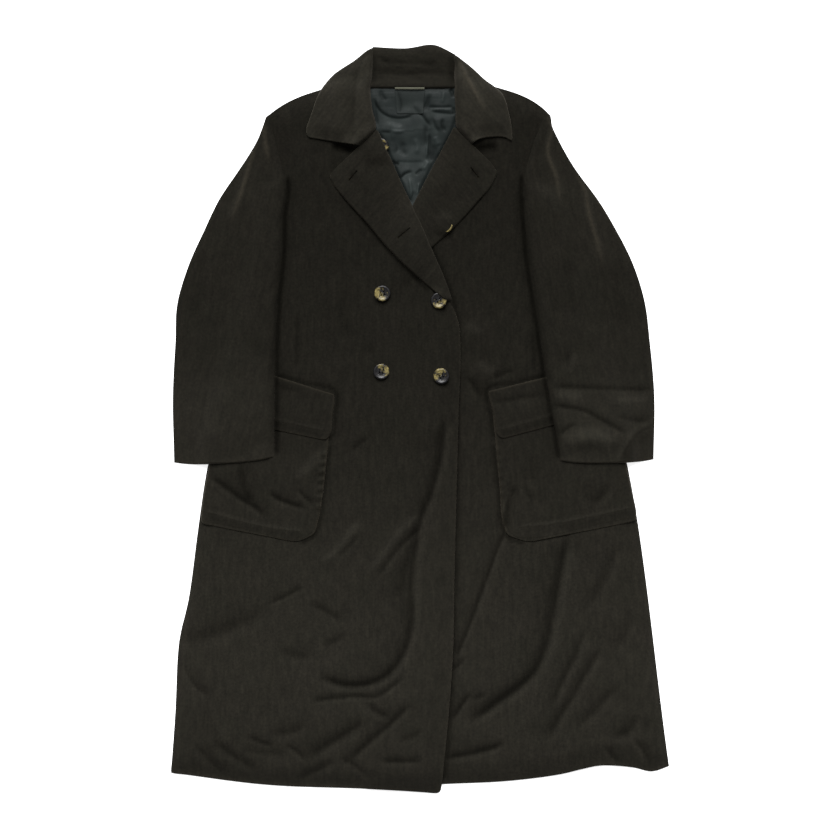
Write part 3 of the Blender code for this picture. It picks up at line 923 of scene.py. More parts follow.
def worn_and_lit_lines(points, paths):
    """Wear and painted highlight along the paths of raised folds."""
    flat = points.reshape(-1, 2)
    total = np.zeros(len(flat))
    for path in paths:
        near, left, share = beside_path(flat, path, WORN_AND_LIT_REACH * WORN_AND_LIT_WIDTH)
        fade = np.clip(np.sin(np.pi * share), 0.0, 1.0) ** WORN_AND_LIT_FADE
        rubbed = np.exp(-(left / WORN_AND_LIT_WIDTH) ** 2) * fade
        total[near] = np.maximum(total[near], WORN_AND_LIT_STRENGTH * rubbed)
    return total.reshape(points.shape[:-1])


def painted_shade_at(points, shade_by_height):
    """Painted shade by height on the coat, from pairs of Y and value."""
    places, values = zip(*sorted(shade_by_height))
    return np.interp(points[..., 1], places, values)


def lay(node, corners, edges, creases=(), cloth=COAT_CLOTH, loft=0.0, uneven=0.0, rounding=0.0, grain=0.0,
        finish="coat_cloth", spacing=SPACING, rests_on=(), air_reach=AIR_REACH, painted_shading=NO_PAINTED_SHADE, worn_and_lit=(),
        rest=table.settle):
    """Make one panel of cloth on the pieces laid before it.

    Corners and edges go round from the top left corner and the top side. An edge is one kind from
    end to end, or a Side that changes.
    """
    points, u, v = patch(sides_of(node, corners, rounding), spacing)
    across = points[:, -1:] - points[:, :1]
    down = points[-1:] - points[:1]
    width = np.linalg.norm(across, axis=2)
    height = np.linalg.norm(down, axis=2)
    rims = (
        (points[:1], v[:, None] * height, height, unit(down)),
        (points[:, -1:], (1 - u)[None] * width, width, -unit(across)),
        (points[-1:], (1 - v)[:, None] * height, height, -unit(down)),
        (points[:, :1], u[None] * width, width, unit(across)),
    )
    moved = points.copy()
    air = np.ones(points.shape[:2])
    cut = np.ones_like(air)
    turn = np.ones_like(air)
    edge = np.zeros_like(air)
    for kind, (rim, reach, span, inward) in zip(edges, rims):
        side = kind if isinstance(kind, Side) else Side(kind, kind, 0.0)
        share = smooth_step((rim[..., 1] - side.change_y) / CHANGE_BAND + 0.5)
        radius, drop, kept, tuck, wear, curl = (
            share * high + (1 - share) * low for high, low in zip(side.upper, side.lower))
        moved += inward * (tuck * (1 - smooth_step(reach / TUCK_FADE)))[..., None]
        air *= kept + (1 - kept) * smooth_step(reach / air_reach)
        radius = np.maximum(np.minimum(radius, 0.5 * span), LEAST_RADIUS)
        inside = np.clip(reach / radius, 0.0, 1.0)
        profile = curl * np.sqrt(1 - (1 - inside) ** 2) + (1 - curl) * smooth_step(inside)
        cut = np.minimum(cut, 1 - (1 - drop) * (1 - profile))
        turn *= 1 - drop * (1 - profile)
        # The rim is painted paler: wear, and a painted highlight where the turned edge catches the lamp.
        edge = np.maximum(edge, wear * np.exp(-(reach / EDGE_WEAR_AND_LIGHT) ** 2))
    relief, crease_shading = crease_relief(moved, creases)
    lift = loft * air + relief + uneven * soft_waves(moved, len(sheets)) * air
    lift = 0.5 * (lift + np.sqrt(lift ** 2 + SOFTNESS ** 2))
    under = rest(moved) + lift
    top = under + cloth * (RIM_LEVEL + (1 - RIM_LEVEL) * cut)
    under = under + cloth * RIM_LEVEL * (1 - cut)
    low = np.minimum(table.beside(moved) + LAYER_GAP, under)
    top = low + (top - low) * turn
    under = np.minimum(under, top - LEAST_CLOTH * cloth * turn * cut)
    # Wear and painted highlight on raised folds, then painted shade by height and from the creases.
    edge = np.maximum(edge, worn_and_lit_lines(moved, worn_and_lit))
    mesh = make_shell(node + "_cloth", moved, top, under, edge, painted_shade_at(moved, painted_shading) * crease_shading, grain,
                      finishes[finish])
    table.raise_to(moved, top)
    piece = add_piece(node + "_cloth", mesh, node)
    sheets[node] = Sheet(piece, *cut_size(moved, top), list(rests_on), [])
    print(piece.name, "top", round(top.max(), 1), "quads", len(mesh.polygons))


print("grid spacing", SPACING, "mm unless a piece has its own")

# %% [markdown]
# Sewing
#
# A row of stitches repeats one small shape along a path, so a Geometry Nodes tree makes it. The
# path is cut into even steps, and a grain of thread is set on each step and turned to the path.
# The same tree binds a buttonhole, with the thread turned across the path and set closer. Stitches
# drawn one by one would look alike, but a change of pitch would mean drawing them all again.

# %% Stitch tree
STITCH_SEED = 7
STITCH_WOBBLE = 0.09
GRAIN_DETAIL = 2


def make_stitch_tree():
    """Geometry Nodes tree that sets grains of thread along the edges of a mesh."""
    tree = bpy.data.node_groups.new("running_stitch", "GeometryNodeTree")
    socket = tree.interface.new_socket
    socket("Path", in_out="INPUT", socket_type="NodeSocketGeometry")
    for name in ("Stitch Pitch", "Stitch Length", "Thread Radius", "Turn"):
        socket(name, in_out="INPUT", socket_type="NodeSocketFloat")
    socket("Thread", in_out="INPUT", socket_type="NodeSocketMaterial")
    socket("Stitches", in_out="OUTPUT", socket_type="NodeSocketGeometry")
    inlet = tree.nodes.new("NodeGroupInput").outputs
    outlet = tree.nodes.new("NodeGroupOutput").inputs
    curve = add_node(tree, "GeometryNodeMeshToCurve", Mesh=inlet["Path"])
    steps = tree.nodes.new("GeometryNodeCurveToPoints")
    steps.mode = "LENGTH"
    set_sockets(tree, steps.inputs, Curve=curve.outputs["Curve"], Length=inlet["Stitch Pitch"])
    facing = tree.nodes.new("FunctionNodeAlignRotationToVector")
    facing.axis = "X"
    feed(tree, facing.inputs["Vector"], steps.outputs["Tangent"])
    wobble = tree.nodes.new("FunctionNodeRandomValue")
    wobble.data_type = "FLOAT"
    wobble.inputs[2].default_value = -STITCH_WOBBLE
    wobble.inputs[3].default_value = STITCH_WOBBLE
    wobble.inputs["Seed"].default_value = STITCH_SEED
    swung = math_node(tree, "ADD", inlet["Turn"], wobble.outputs[1])
    lean = add_node(tree, "ShaderNodeCombineXYZ", Z=swung)
    swing = tree.nodes.new("FunctionNodeEulerToRotation")
    feed(tree, swing.inputs[0], lean.outputs[0])
    turned = tree.nodes.new("FunctionNodeRotateRotation")
    turned.rotation_space = "LOCAL"
    set_sockets(tree, turned.inputs, Rotation=facing.outputs[0], Rotate_By=swing.outputs[0])
    half = math_node(tree, "MULTIPLY", inlet["Stitch Length"], 0.5)
    size = add_node(tree, "ShaderNodeCombineXYZ", X=half, Y=inlet["Thread Radius"], Z=inlet["Thread Radius"])
    grain = add_node(tree, "GeometryNodeMeshIcoSphere", Radius=1.0, Subdivisions=GRAIN_DETAIL)
    placed = add_node(tree, "GeometryNodeInstanceOnPoints", Points=steps.outputs["Points"],
                      Instance=grain.outputs["Mesh"], Rotation=turned.outputs[0], Scale=size.outputs[0])
    real = add_node(tree, "GeometryNodeRealizeInstances", Geometry=placed.outputs[0])
    finish = add_node(tree, "GeometryNodeSetMaterial", Geometry=real.outputs[0], Material=inlet["Thread"])
    feed(tree, outlet["Stitches"], finish.outputs[0])
    return tree


stitch_tree = make_stitch_tree()
stitch_inputs = {item.name: item.identifier for item in stitch_tree.interface.items_tree
                 if item.in_out == "INPUT"}
print("stitch inputs", list(stitch_inputs))

# %% Sew a row
THREAD_ROUGH = 0.75
THREAD_GLOSS = 0.02
THREAD_STEP = 2.0
LEAST_THREAD_POINTS = 6
RAY_START = 1.0


def make_thread(name, colour):
    """Plain matt thread."""
    material, tree, surface = new_finish(name)
    set_sockets(tree, surface, Base_Color=colour, Roughness=THREAD_ROUGH, Specular_IOR_Level=THREAD_GLOSS)
    return material


def on_cloth(piece, path, rise=0.0):
    """Points along a path, in millimetres, on the top of a piece of cloth."""
    mesh = piece.data
    tree = BVHTree.FromPolygons([point.co for point in mesh.vertices],
                                [face.vertices for face in mesh.polygons])
    found = []
    for x, y in even_points(path, THREAD_STEP, LEAST_THREAD_POINTS):
        hit = tree.ray_cast(Vector((x * MM, y * MM, RAY_START)), Vector((0.0, 0.0, -1.0)))[0]
        if hit is not None:
            found.append((x, y, hit.z / MM + rise))
    return found


def evaluated_mesh(shape):
    """A new mesh of an object with its modifiers applied."""
    bpy.context.view_layer.update()
    return bpy.data.meshes.new_from_object(shape.evaluated_get(bpy.context.evaluated_depsgraph_get()))


def sew(name, rows, pitch, length, radius, turn, thread):
    """One piece of stitches along rows of points in millimetres."""
    corners = [point for row in rows for point in row]
    links = []
    for row in rows:
        start = links[-1][1] + 1 if links else 0
        links.extend((start + k, start + k + 1) for k in range(len(row) - 1))
    mesh = bpy.data.meshes.new(name)
    mesh.from_pydata([[value * MM for value in point] for point in corners], links, [])
    path = put_in_scene(name + "_path", mesh)
    sewing = path.modifiers.new("stitches", "NODES")
    sewing.node_group = stitch_tree
    values = {"Stitch Pitch": pitch * MM, "Stitch Length": length * MM, "Thread Radius": radius * MM,
              "Turn": math.radians(turn), "Thread": thread}
    for label, value in values.items():
        sewing[stitch_inputs[label]] = value
    made = evaluated_mesh(path)
    bpy.data.objects.remove(path, do_unlink=True)
    made.shade_smooth()
    print(name, "faces", len(made.polygons))
    return add_piece(name, made)


coat_thread = make_thread("coat_thread", (0.0098, 0.0086, 0.0058, 1.0))
# Near-black thread: the buttons' thread, and the painted shadow laid in the buttonhole slits.
dark_thread_and_slit_shadow = make_thread("dark_thread_and_slit_shadow", (0.0016, 0.0014, 0.0012, 1.0))
print("threads", coat_thread.name, dark_thread_and_slit_shadow.name)

# %% [markdown]
# Back, collar fall and lining
#
# These lie lowest. The back is one large panel on the table and carries only long shallow lifts.
# The lining shows in the neck: thin satin that has crumpled between the fronts, so its creases
# are short, narrow and run in many directions.

# %% Collar fall and back
# Painted shade by height, from pairs of Y and value: darkest across the chest, lighter towards hem and cuffs.
BODY_PAINTED_SHADE = ((560, 0.58), (330, 0.53), (150, 0.60), (0, 0.66), (-90, 0.74), (-220, 0.88), (-380, 0.96),
            (-580, 0.84))
SLEEVE_PAINTED_SHADE = ((480, 0.61), (380, 0.64), (250, 0.66), (100, 0.68), (30, 0.84), (-60, 0.92))
COLLAR_PAINTED_SHADE = ((580, 0.92), (430, 0.92))
STAND_PAINTED_SHADE = ((580, 0.72), (510, 0.68))
LAPEL_PAINTED_SHADE = ((460, 0.68), (180, 0.62))
LINING_PAINTED_SHADE = ((515, 0.66), (470, 0.78), (420, 0.88), (330, 0.98))
BACK_LIFTS = (
    Crease(((-150, 380), (-170, 150), (-160, -60)), 30, -2.0),
    Crease(((90, 300), (120, 60), (150, -160)), 34, -2.0),
    Crease(((-240, -120), (-210, -300), (-260, -470)), 28, -2.2),
    Crease(((-40, -90), (10, -280), (-30, -500)), 32, -2.4),
    Crease(((210, -200), (240, -340), (200, -490)), 30, -2.0),
)
lay("collar_back", ((-150, 503), (121, 505), (118, 480), (-146, 478)), (CUT,) * 4, cloth=TURNED_CLOTH,
    spacing=8.0, rests_on=["floor"])
lay("back", ((-228, 465), (189, 471), (383, -524), (-383, -535)), (HIDDEN,) * 4, BACK_LIFTS, spacing=8.0,
    rests_on=["floor"], painted_shading=BODY_PAINTED_SHADE)

# %% Lining
LINING_CREASES = (
    # Painted shade beside the label's left edge.
    Crease(((-36, 511), (-33, 496), (-30, 487), (-33, 474)), 2.2, 1.6),
    Crease(((-71, 499), (-66, 485), (-57, 475), (-44, 469), (-26, 468), (-10, 472)), 2.0, 1.8, LEFT_HIGH),
    Crease(((-63, 447), (-54, 446), (-43, 445)), 2.2, 1.4, LEFT_HIGH),
    Crease(((-46, 447), (-34, 446), (-22, 447)), 2.2, -1.5),
    Crease(((-12, 486), (2, 474), (10, 463), (18, 454)), 2.4, 2.0, LEFT_HIGH),
    Crease(((16, 506), (11, 491), (4, 477)), 3.0, 1.8),
    Crease(((10, 486), (30, 484), (54, 486)), 2.2, 1.6, LEFT_HIGH),
    Crease(((16, 478), (34, 476), (54, 474)), 2.2, 1.8, LEFT_HIGH),
    Crease(((14, 480), (32, 481), (52, 480)), 2.0, -1.5),
    Crease(((50, 485), (53, 478), (51, 471)), 2.2, 1.8),
    Crease(((15, 444), (15, 424), (14, 406)), 2.0, 2.4),
    Crease(((10, 448), (11, 426), (10, 404)), 1.8, -1.4),
    # Painted shadow under the left front's edge.
    Crease(((23, 428), (20, 414), (14, 398)), 6.0, 3.0),
    Crease(((10, 462), (9, 440), (10, 420)), 2.6, 1.6),
    Crease(((36, 468), (35, 455), (40, 445)), 2.6, 1.9),
    Crease(((20, 470), (24, 455), (32, 445)), 3.0, 1.8, LEFT_HIGH),
    Crease(((46, 514), (50, 507), (53, 498)), 3.0, 2.8),
    Crease(((-32, 372), (-24, 381), (-10, 386)), 2.4, 2.0, LEFT_HIGH),
    Crease(((-8, 379), (-2, 384), (4, 389)), 2.2, 1.6),
    Crease(((15, 403), (9, 394), (4, 386)), 3.5, -1.8),
    Crease(((-45, 402), (-38, 397), (-31, 396)), 2.4, 2.2),
    Crease(((-40, 401), (-16, 400), (8, 401)), 2.0, 0.6, LEFT_HIGH),
    Crease(((-24, 432), (-28, 418), (-20, 408)), 4.0, 1.6),
    Crease(((-52, 464), (-40, 456), (-24, 454)), 4.0, -1.5, LEFT_HIGH),
    Crease(((-46, 434), (-36, 424), (-38, 412)), 3.0, 1.3, RIGHT_HIGH),
    Crease(((-10, 438), (-4, 424), (-6, 410)), 4.0, -1.4),
    Crease(((-17, 377), (-14, 358), (-13, 340)), 2.4, -1.6),
    Crease(((-2, 369), (-3, 358), (-5, 347)), 2.0, -1.4),
    Crease(((-8, 356), (-12, 345), (-16, 334)), 3.0, 1.4),
    Crease(((22, 440), (26, 432), (30, 424)), 4.0, -1.6),
    Crease(((-62, 512), (-58, 500), (-50, 494)), 3.0, 1.6),
    Crease(((36, 512), (36, 500), (33, 489)), 3.0, -1.5),
    Crease(((-72, 500), (-70, 476), (-66, 450)), 3.4, 2.2),
    # The next two rows paint the shadow along the lapels' edges.
    Crease(((60, 480), (54, 458), (46, 438), (33, 415), (17, 388), (7, 367), (-4, 345)), 3.6, 2.8),
    Crease(((-66, 450), (-54, 424), (-44, 402), (-33, 376), (-23, 353), (-14, 332)), 3.0, 2.4),
)
lay("back_lining", ((-84, 513), (68, 513), (2, 306), (-18, 306)), (UNDER_STAND, CUT, CUT, CUT),
    LINING_CREASES, cloth=LINING_CLOTH, loft=3.0, uneven=0.7, grain=4.0, finish="lining_cloth", spacing=1.3,
    rests_on=["back_cloth"], air_reach=14.0, painted_shading=LINING_PAINTED_SHADE)

# %% Label
LABEL_CREASES = (
    # Painted shade along the label's left edge.
    Crease(((-35, 510), (-31, 499), (-29, 487), (-32, 475)), 1.4, 1.2),
    Crease(((-12, 486), (-4, 479), (2, 474)), 2.2, 0.8, LEFT_HIGH),
)
lay("neck_label", ((-39, 512), (7, 512), (5, 474), (-36, 474)), (LABEL_EDGE,) * 4, LABEL_CREASES,
    cloth=LABEL_CLOTH, rounding=1.0, finish="label_cloth", spacing=1.6, rests_on=["back_lining_cloth"],
    air_reach=8.0, painted_shading=LINING_PAINTED_SHADE, rest=table.cling)

# %% Collar stand
STAND_CREASES = (
    Crease(((-66, 556), (-20, 554), (36, 552)), 4.0, 0.9, LEFT_HIGH),
    Crease(((-70, 539), (-25, 538), (40, 539)), 3.5, 0.8, LEFT_HIGH),
    Crease(((-22, 540), (-6, 532), (12, 524)), 4.0, 1.0, LEFT_HIGH),
    Crease(((10, 545), (18, 553), (26, 558)), 4.0, 0.8, LEFT_HIGH),
    Crease(((-64, 566), (-56, 558), (-46, 554)), 4.0, 1.4, LEFT_HIGH),
    # The next two rows paint shade in the stand's corners, under the raised wings.
    Crease(((50, 576), (50, 545), (53, 510)), 6.0, 3.6),
    Crease(((-71, 584), (-72, 550), (-70, 510)), 5.0, 2.4),
)
STAND_END = Side(CUT, LAPPED, 560)
lay("collar_stand", ((-73, 579), (53, 567), (55, 513.4), (-71, 513.4)),
    (FOLD, STAND_END, NECK_SEAM, STAND_END), STAND_CREASES, loft=0.8, uneven=0.4, grain=90.0, spacing=2.6,
    rests_on=["collar_back_cloth", "back_cloth"], air_reach=18.0, painted_shading=STAND_PAINTED_SHADE)

# %% Folded top of the label
TOP_FOLD = {"left": -39.0, "right": 7.0, "low": 511.4, "high": 514.8, "cloth": 0.9}
TOP_FOLD_ROUND = 1.2
TOP_FOLD_RISE = 0.1
TOP_FOLD_SPACING = 1.0


def make_label_fold(left, right, low, high, cloth):
    """Narrow cream strip where the label is folded at its top, as a closed shell."""
    side_points = (((left, high), (right, high)), ((right, high), (right, low)),
                   ((left, low), (right, low)), ((left, high), (left, low)))
    points, u, v = patch([np.array(side, dtype=float) for side in side_points], TOP_FOLD_SPACING)
    under = table.settle(points)
    across = np.minimum(u, 1 - u)[None] * (right - left)
    down = np.minimum(v, 1 - v)[:, None] * (high - low)
    inside = np.clip(np.minimum(across, down) / TOP_FOLD_ROUND, 0.0, 1.0)
    top = under + cloth * np.sqrt(1 - (1 - inside) ** 2) + TOP_FOLD_RISE
    flat = np.zeros_like(top)
    mesh = make_shell("neck_label_fold", points, top, under, flat, flat + 1.0, 0.0, cream_weave)
    table.raise_to(points, top)
    piece = add_piece("neck_label_fold", mesh)
    sheets["neck_label"].sewn_on.append(piece)
    print(piece.name, "top", round(top.max(), 1), "quads", len(mesh.polygons))


make_label_fold(**TOP_FOLD)

# %% [markdown]
# Buttons
#
# A tortoiseshell button is turned from a slab: a rounded rim, a dished face and four holes. A
# spun profile gives the turning, and a Boolean drills the holes. The pale and dark clouds in the
# slab differ from button to button, so each button has its own finish from one function: it
# centres the clouds on the button, turns their pale side and darkens the rim. Thread crosses
# between the holes.

# %% Horn finish
RIM_START = 0.0090
RIM_STEEPNESS = 600.0
CLOUD = {"rough": 0.5, "detail": 2.0, "distortion": 0.8}
CLOUD_CONTRAST = 6.0
VEIN = {"rough": 0.6, "detail": 4.0, "distortion": 1.6}
VEIN_FINENESS = 2.2
VEIN_CONTRAST = 3.2
VEIN_START = -1.2
HORN_COLOURS = ((0.0075, 0.0072, 0.0080, 1), (0.205, 0.168, 0.060, 1))
VEIN_TONES = ((0.42, 0.40, 0.40, 1), (1.30, 1.30, 1.34, 1))
HORN_ROUGH = 0.30
HORN_ROUGH_SPREAD = 0.12
HORN_GLOSS = 0.30


def make_horn_group():
    """Clouds in a slab of horn with a darker rim: amber from 0 to 1, and veins from 0 to 1."""
    group, inlet, outlet = shader_group(
        "horn_clouds", {"Vector": None, "Cloud Scale": 90.0, "Pale Side": 45.0, "Pale Share": 0.5},
        ("Amber", "Veins"))
    across = add_node(group, "ShaderNodeSeparateXYZ", Vector=inlet["Vector"]).outputs
    cloud = noise(group, inlet["Vector"], inlet["Cloud Scale"], **CLOUD)
    lean = math_node(group, "MULTIPLY", across["X"], inlet["Pale Side"])
    swirl = math_node(group, "MULTIPLY_ADD", math_node(group, "SUBTRACT", cloud, 0.5), CLOUD_CONTRAST, lean)
    face = add_node(group, "ShaderNodeCombineXYZ", X=across["X"], Y=across["Y"])
    reach = group.nodes.new("ShaderNodeVectorMath")
    reach.operation = "LENGTH"
    feed(group, reach.inputs[0], face.outputs[0])
    rim = math_node(group, "MULTIPLY_ADD", reach.outputs["Value"], RIM_STEEPNESS, -RIM_STEEPNESS * RIM_START,
                    clamp=True)
    clouded = math_node(group, "ADD", swirl, inlet["Pale Share"])
    amber = math_node(group, "SUBTRACT", clouded, rim, clamp=True)
    vein_scale = math_node(group, "MULTIPLY", inlet["Cloud Scale"], VEIN_FINENESS)
    vein = noise(group, inlet["Vector"], vein_scale, **VEIN)
    veins = math_node(group, "MULTIPLY_ADD", vein, VEIN_CONTRAST, VEIN_START, clamp=True)
    set_sockets(group, outlet, Amber=amber, Veins=veins)
    return group


horn_group = make_horn_group()
print("horn nodes", len(horn_group.nodes))


def make_horn(name, centre, pale_turn, pale_share):
    """Tortoiseshell for one button, with its pale side at the given angle."""
    material, tree, surface = new_finish(name)
    centred = tree.nodes.new("ShaderNodeMapping")
    centred.vector_type = "TEXTURE"
    set_sockets(tree, centred.inputs, Vector=place_in_metres(tree), Location=centre,
                Rotation=(0.0, 0.0, math.radians(pale_turn)))
    clouds = place_group(tree, horn_group, Vector=centred.outputs[0], Cloud_Scale=110.0, Pale_Side=120.0,
                         Pale_Share=pale_share)
    colour = toned(tree, mix_colour(tree, clouds["Amber"], *HORN_COLOURS), clouds["Veins"], VEIN_TONES)
    polish = math_node(tree, "MULTIPLY_ADD", clouds["Veins"], HORN_ROUGH_SPREAD, HORN_ROUGH)
    set_sockets(tree, surface, Base_Color=colour, Roughness=polish, Specular_IOR_Level=HORN_GLOSS)
    return material


# %% Button shape
BUTTON_SIDES = 56
BUTTON_HEIGHT = 4.4
DISH = 1.2
# Across as a share of the radius, and down as a share of the dish or up as one of the height.
FACE_PROFILE = ((0.0, 1.0), (0.34, 1.0), (0.58, 0.98), (0.68, 0.55), (0.76, 0.08), (0.82, 0.0), (0.90, 0.15))
SIDE_PROFILE = ((0.96, 0.80), (1.0, 0.58), (0.97, 0.38), (0.86, 0.10), (0.72, 0.0), (0.0, 0.0))
HOLE_PLACE = 2.5
HOLE_RADIUS = 1.0
HOLE_SIDES = 16
REST_RING = 0.8
REST_POINTS = 24
DISC_POINTS = 19
button_centres = {}


def turned_profile(radius):
    """Half section of a button from the middle of its face round to the middle of its back."""
    face = [(across * radius, BUTTON_HEIGHT - down * DISH) for across, down in FACE_PROFILE]
    return face + [(across * radius, up * BUTTON_HEIGHT) for across, up in SIDE_PROFILE]


def spun(profile):
    """Closed turned shape about Z."""
    shape = bmesh.new()
    corners = [shape.verts.new((across * MM, 0.0, up * MM)) for across, up in profile]
    rim = [shape.edges.new(pair) for pair in zip(corners, corners[1:])]
    bmesh.ops.spin(shape, geom=corners + rim, cent=(0, 0, 0), axis=(0, 0, 1), angle=math.tau,
                   steps=BUTTON_SIDES, use_duplicate=False)
    bmesh.ops.remove_doubles(shape, verts=shape.verts[:], dist=SAME_POINT)
    bmesh.ops.recalc_face_normals(shape, faces=shape.faces[:])
    return shape


def object_from(name, shape):
    """A built shape as an object in the scene."""
    mesh = bpy.data.meshes.new(name)
    shape.to_mesh(mesh)
    shape.free()
    return put_in_scene(name, mesh)


def drilled(shape):
    """The turned shape with its four holes cut by a Boolean, as a mesh."""
    drills = bmesh.new()
    for across in (-HOLE_PLACE, HOLE_PLACE):
        for up in (-HOLE_PLACE, HOLE_PLACE):
            place = Matrix.Translation((across * MM, up * MM, 0.5 * BUTTON_HEIGHT * MM))
            bmesh.ops.create_cone(drills, cap_ends=True, segments=HOLE_SIDES, radius1=HOLE_RADIUS * MM,
                                  radius2=HOLE_RADIUS * MM, depth=2 * BUTTON_HEIGHT * MM, matrix=place)
    blank = object_from("blank", shape)
    drill = object_from("drills", drills)
    cutter = blank.modifiers.new("holes", "BOOLEAN")
    cutter.operation = "DIFFERENCE"
    cutter.object = drill
    made = evaluated_mesh(blank)
    for spare in (blank, drill):
        bpy.data.objects.remove(spare, do_unlink=True)
    return made


def set_button(node, pale_turn, pale_share, thread_turn, tilt=0.0, tilt_axis=(1.0, 0.0, 0.0)):
    """One button on the cloth under it, at the place of its node."""
    low, high = (np.array(corner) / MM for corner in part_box(node))
    middle = 0.5 * (low + high)[:2]
    radius = 0.5 * (high - low)[0]
    mesh = drilled(spun(turned_profile(radius)))
    angles = np.linspace(0.0, math.tau, REST_POINTS, endpoint=False)
    ring = middle + REST_RING * radius * np.stack([np.cos(angles), np.sin(angles)], axis=1)
    rise = table.settle(ring).max()
    raised = rise + 0.5 * radius * math.sin(math.radians(tilt))
    mesh.transform(Matrix.Translation((middle[0] * MM, middle[1] * MM, raised * MM))
                   @ Matrix.Rotation(math.radians(tilt), 4, Vector(tilt_axis))
                   @ Matrix.Rotation(math.radians(thread_turn), 4, "Z"))
    centre = (middle[0] * MM, middle[1] * MM, rise * MM)
    mesh.materials.clear()
    mesh.materials.append(make_horn(node + "_horn", centre, pale_turn, pale_share))
    mesh.shade_smooth()
    piece = add_piece(node + "_turned", mesh, node)
    button_centres[node] = (middle[0], middle[1], rise + BUTTON_HEIGHT - DISH, thread_turn)
    spread = np.linspace(-radius, radius, DISC_POINTS)
    across, up = np.meshgrid(spread, spread, indexing="ij")
    inside = np.hypot(across, up) < radius
    table.raise_to(middle + np.dstack([across, up]), np.where(inside, rise + BUTTON_HEIGHT, 0.0))
    print(piece.name, "at", np.round(middle, 1), "faces", len(mesh.polygons))


set_button("button_inner", 0.0, -0.45, 20.0)

# %% [markdown]
# The fronts and their lapels
#
# The left front lies first, then its lapel, which is the front's own edge turned back with the
# facing side up. The right front laps over both. The skirts of the coat carry the long folds,
# which swing from the pockets to the hem. A narrow dip runs along every line where a sleeve, a
# pocket, a flap or the right front's edge lies on a front, because cloth is pressed in there, and
# each dip is also painted dark as the shadow along that edge. Further creases paint the shadows
# below the lapels' edges and under the collar's notches.

# %% Left front
FRONT = {"loft": 7.5, "uneven": 0.3, "spacing": 3.5, "painted_shading": BODY_PAINTED_SHADE}
FRONT_TO_SLEEVE = Side(LAPPED, FOLD, -40)
FRONT_TO_LAPEL = Side(HIDDEN, CUT, 185)
# A dip along each edge of a pocket or flap on a front, painted dark as its shadow.
LINE_WIDTH = 2.2
LINE_DEPTH = 1.8
DIP_SIZES = ((3.4, 3.0), (2.2, 0.6))


def sleeve_dip(line):
    """A wide dip with a narrow one in it where a sleeve's inner edge lies, painted dark as its shadow."""
    return tuple(Crease(line, width, depth) for width, depth in DIP_SIZES)


LEFT_SLEEVE_LINE = ((158, 384), (157, 353), (160, 300), (165, 245), (174, 186), (184, 122), (193, 62),
                    (200, 22), (208, -20), (216, -66))
LEFT_SLEEVE_DIP = sleeve_dip(LEFT_SLEEVE_LINE)
# Where the right front's edge lies on the left front: a dip painted dark as its shadow.
FRONT_EDGE_LINE = ((2, 298), (20, 262), (36, 225), (48, 194), (55, 170), (59, 140), (60, 95), (59, 20),
                   (58, -60), (57, -180), (54, -300), (49, -420), (44, -490), (38, -562))
LEFT_POCKET_LINE = ((114, -36), (116, -62), (122, -116), (126, -161), (135, -183), (164, -194))
LEFT_FLAP_LINE = ((196, 69), (150, 57), (104, 46), (110, 6), (117, -28), (125, -35))
LEFT_FRONT_CREASES = (
    Crease(((230, -170), (220, -215), (211, -265), (203, -310), (193, -352), (176, -390), (150, -415),
            (120, -436), (92, -456), (66, -468)), 9.0, 7.0, RIGHT_HIGH),
    Crease(((312, -180), (294, -222), (278, -260), (258, -300)), 9.0, 3.0, RIGHT_HIGH),
    Crease(((254, -322), (243, -358), (225, -394), (208, -432), (202, -452)), 6.0, 3.2, RIGHT_HIGH),
    Crease(((282, -345), (266, -376), (250, -402), (234, -432), (214, -462), (196, -500)), 7.0, 4.0,
           RIGHT_HIGH),
    Crease(((312, -405), (286, -432), (264, -456), (238, -480)), 8.0, 3.0, RIGHT_HIGH),
    Crease(((326, -296), (314, -335), (296, -362)), 10.0, 2.5, RIGHT_HIGH),
    Crease(((334, -452), (322, -482), (292, -490)), 9.0, 4.0, RIGHT_HIGH),
    Crease(((286, -500), (298, -520), (312, -536)), 5.0, 2.5, LEFT_HIGH),
    Crease(((334, -494), (348, -514), (356, -534)), 5.0, 3.0, LEFT_HIGH),
    Crease(((131, -172), (118, -206), (100, -255), (80, -310), (56, -370)), 3.5, 2.6, RIGHT_HIGH),
    Crease(((72, -364), (62, -378), (50, -390)), 4.0, 2.0, RIGHT_HIGH),
    Crease(((82, -418), (62, -446), (47, -470)), 4.0, 3.0, RIGHT_HIGH),
    Crease(((106, -424), (90, -430), (74, -432)), 4.0, 1.6, RIGHT_HIGH),
    Crease(((32, -524), (62, -520), (90, -514), (116, -507), (138, -493)), 6.0, 4.2, LEFT_HIGH),
    Crease(((88, 92), (102, 80), (116, 70)), 6.0, -3.0, LEFT_HIGH),
    Crease(((110, 63), (128, 71), (148, 78)), 4.0, 1.8, LEFT_HIGH),
    Crease(((70, 70), (85, 50), (96, 30)), 5.0, 2.4, LEFT_HIGH),
    Crease(((69, 152), (83, 142), (97, 131)), 7.0, -3.0, LEFT_HIGH),
    Crease(((174, 138), (176, 100), (178, 68)), 3.0, 1.0),
    Crease(FRONT_EDGE_LINE, 2.6, 2.6),
    # Painted shadow under the collar's notch.
    Crease(((82, 418), (102, 419), (124, 423)), 7.0, 7.0),
    # Painted shadow along the lapel's edge.
    Crease(((100, 350), (78, 325), (48, 297), (20, 270)), 2.6, 1.6),
    Crease(LEFT_POCKET_LINE, LINE_WIDTH, LINE_DEPTH),
    Crease(LEFT_FLAP_LINE, LINE_WIDTH, LINE_DEPTH),
    *LEFT_SLEEVE_DIP,
)
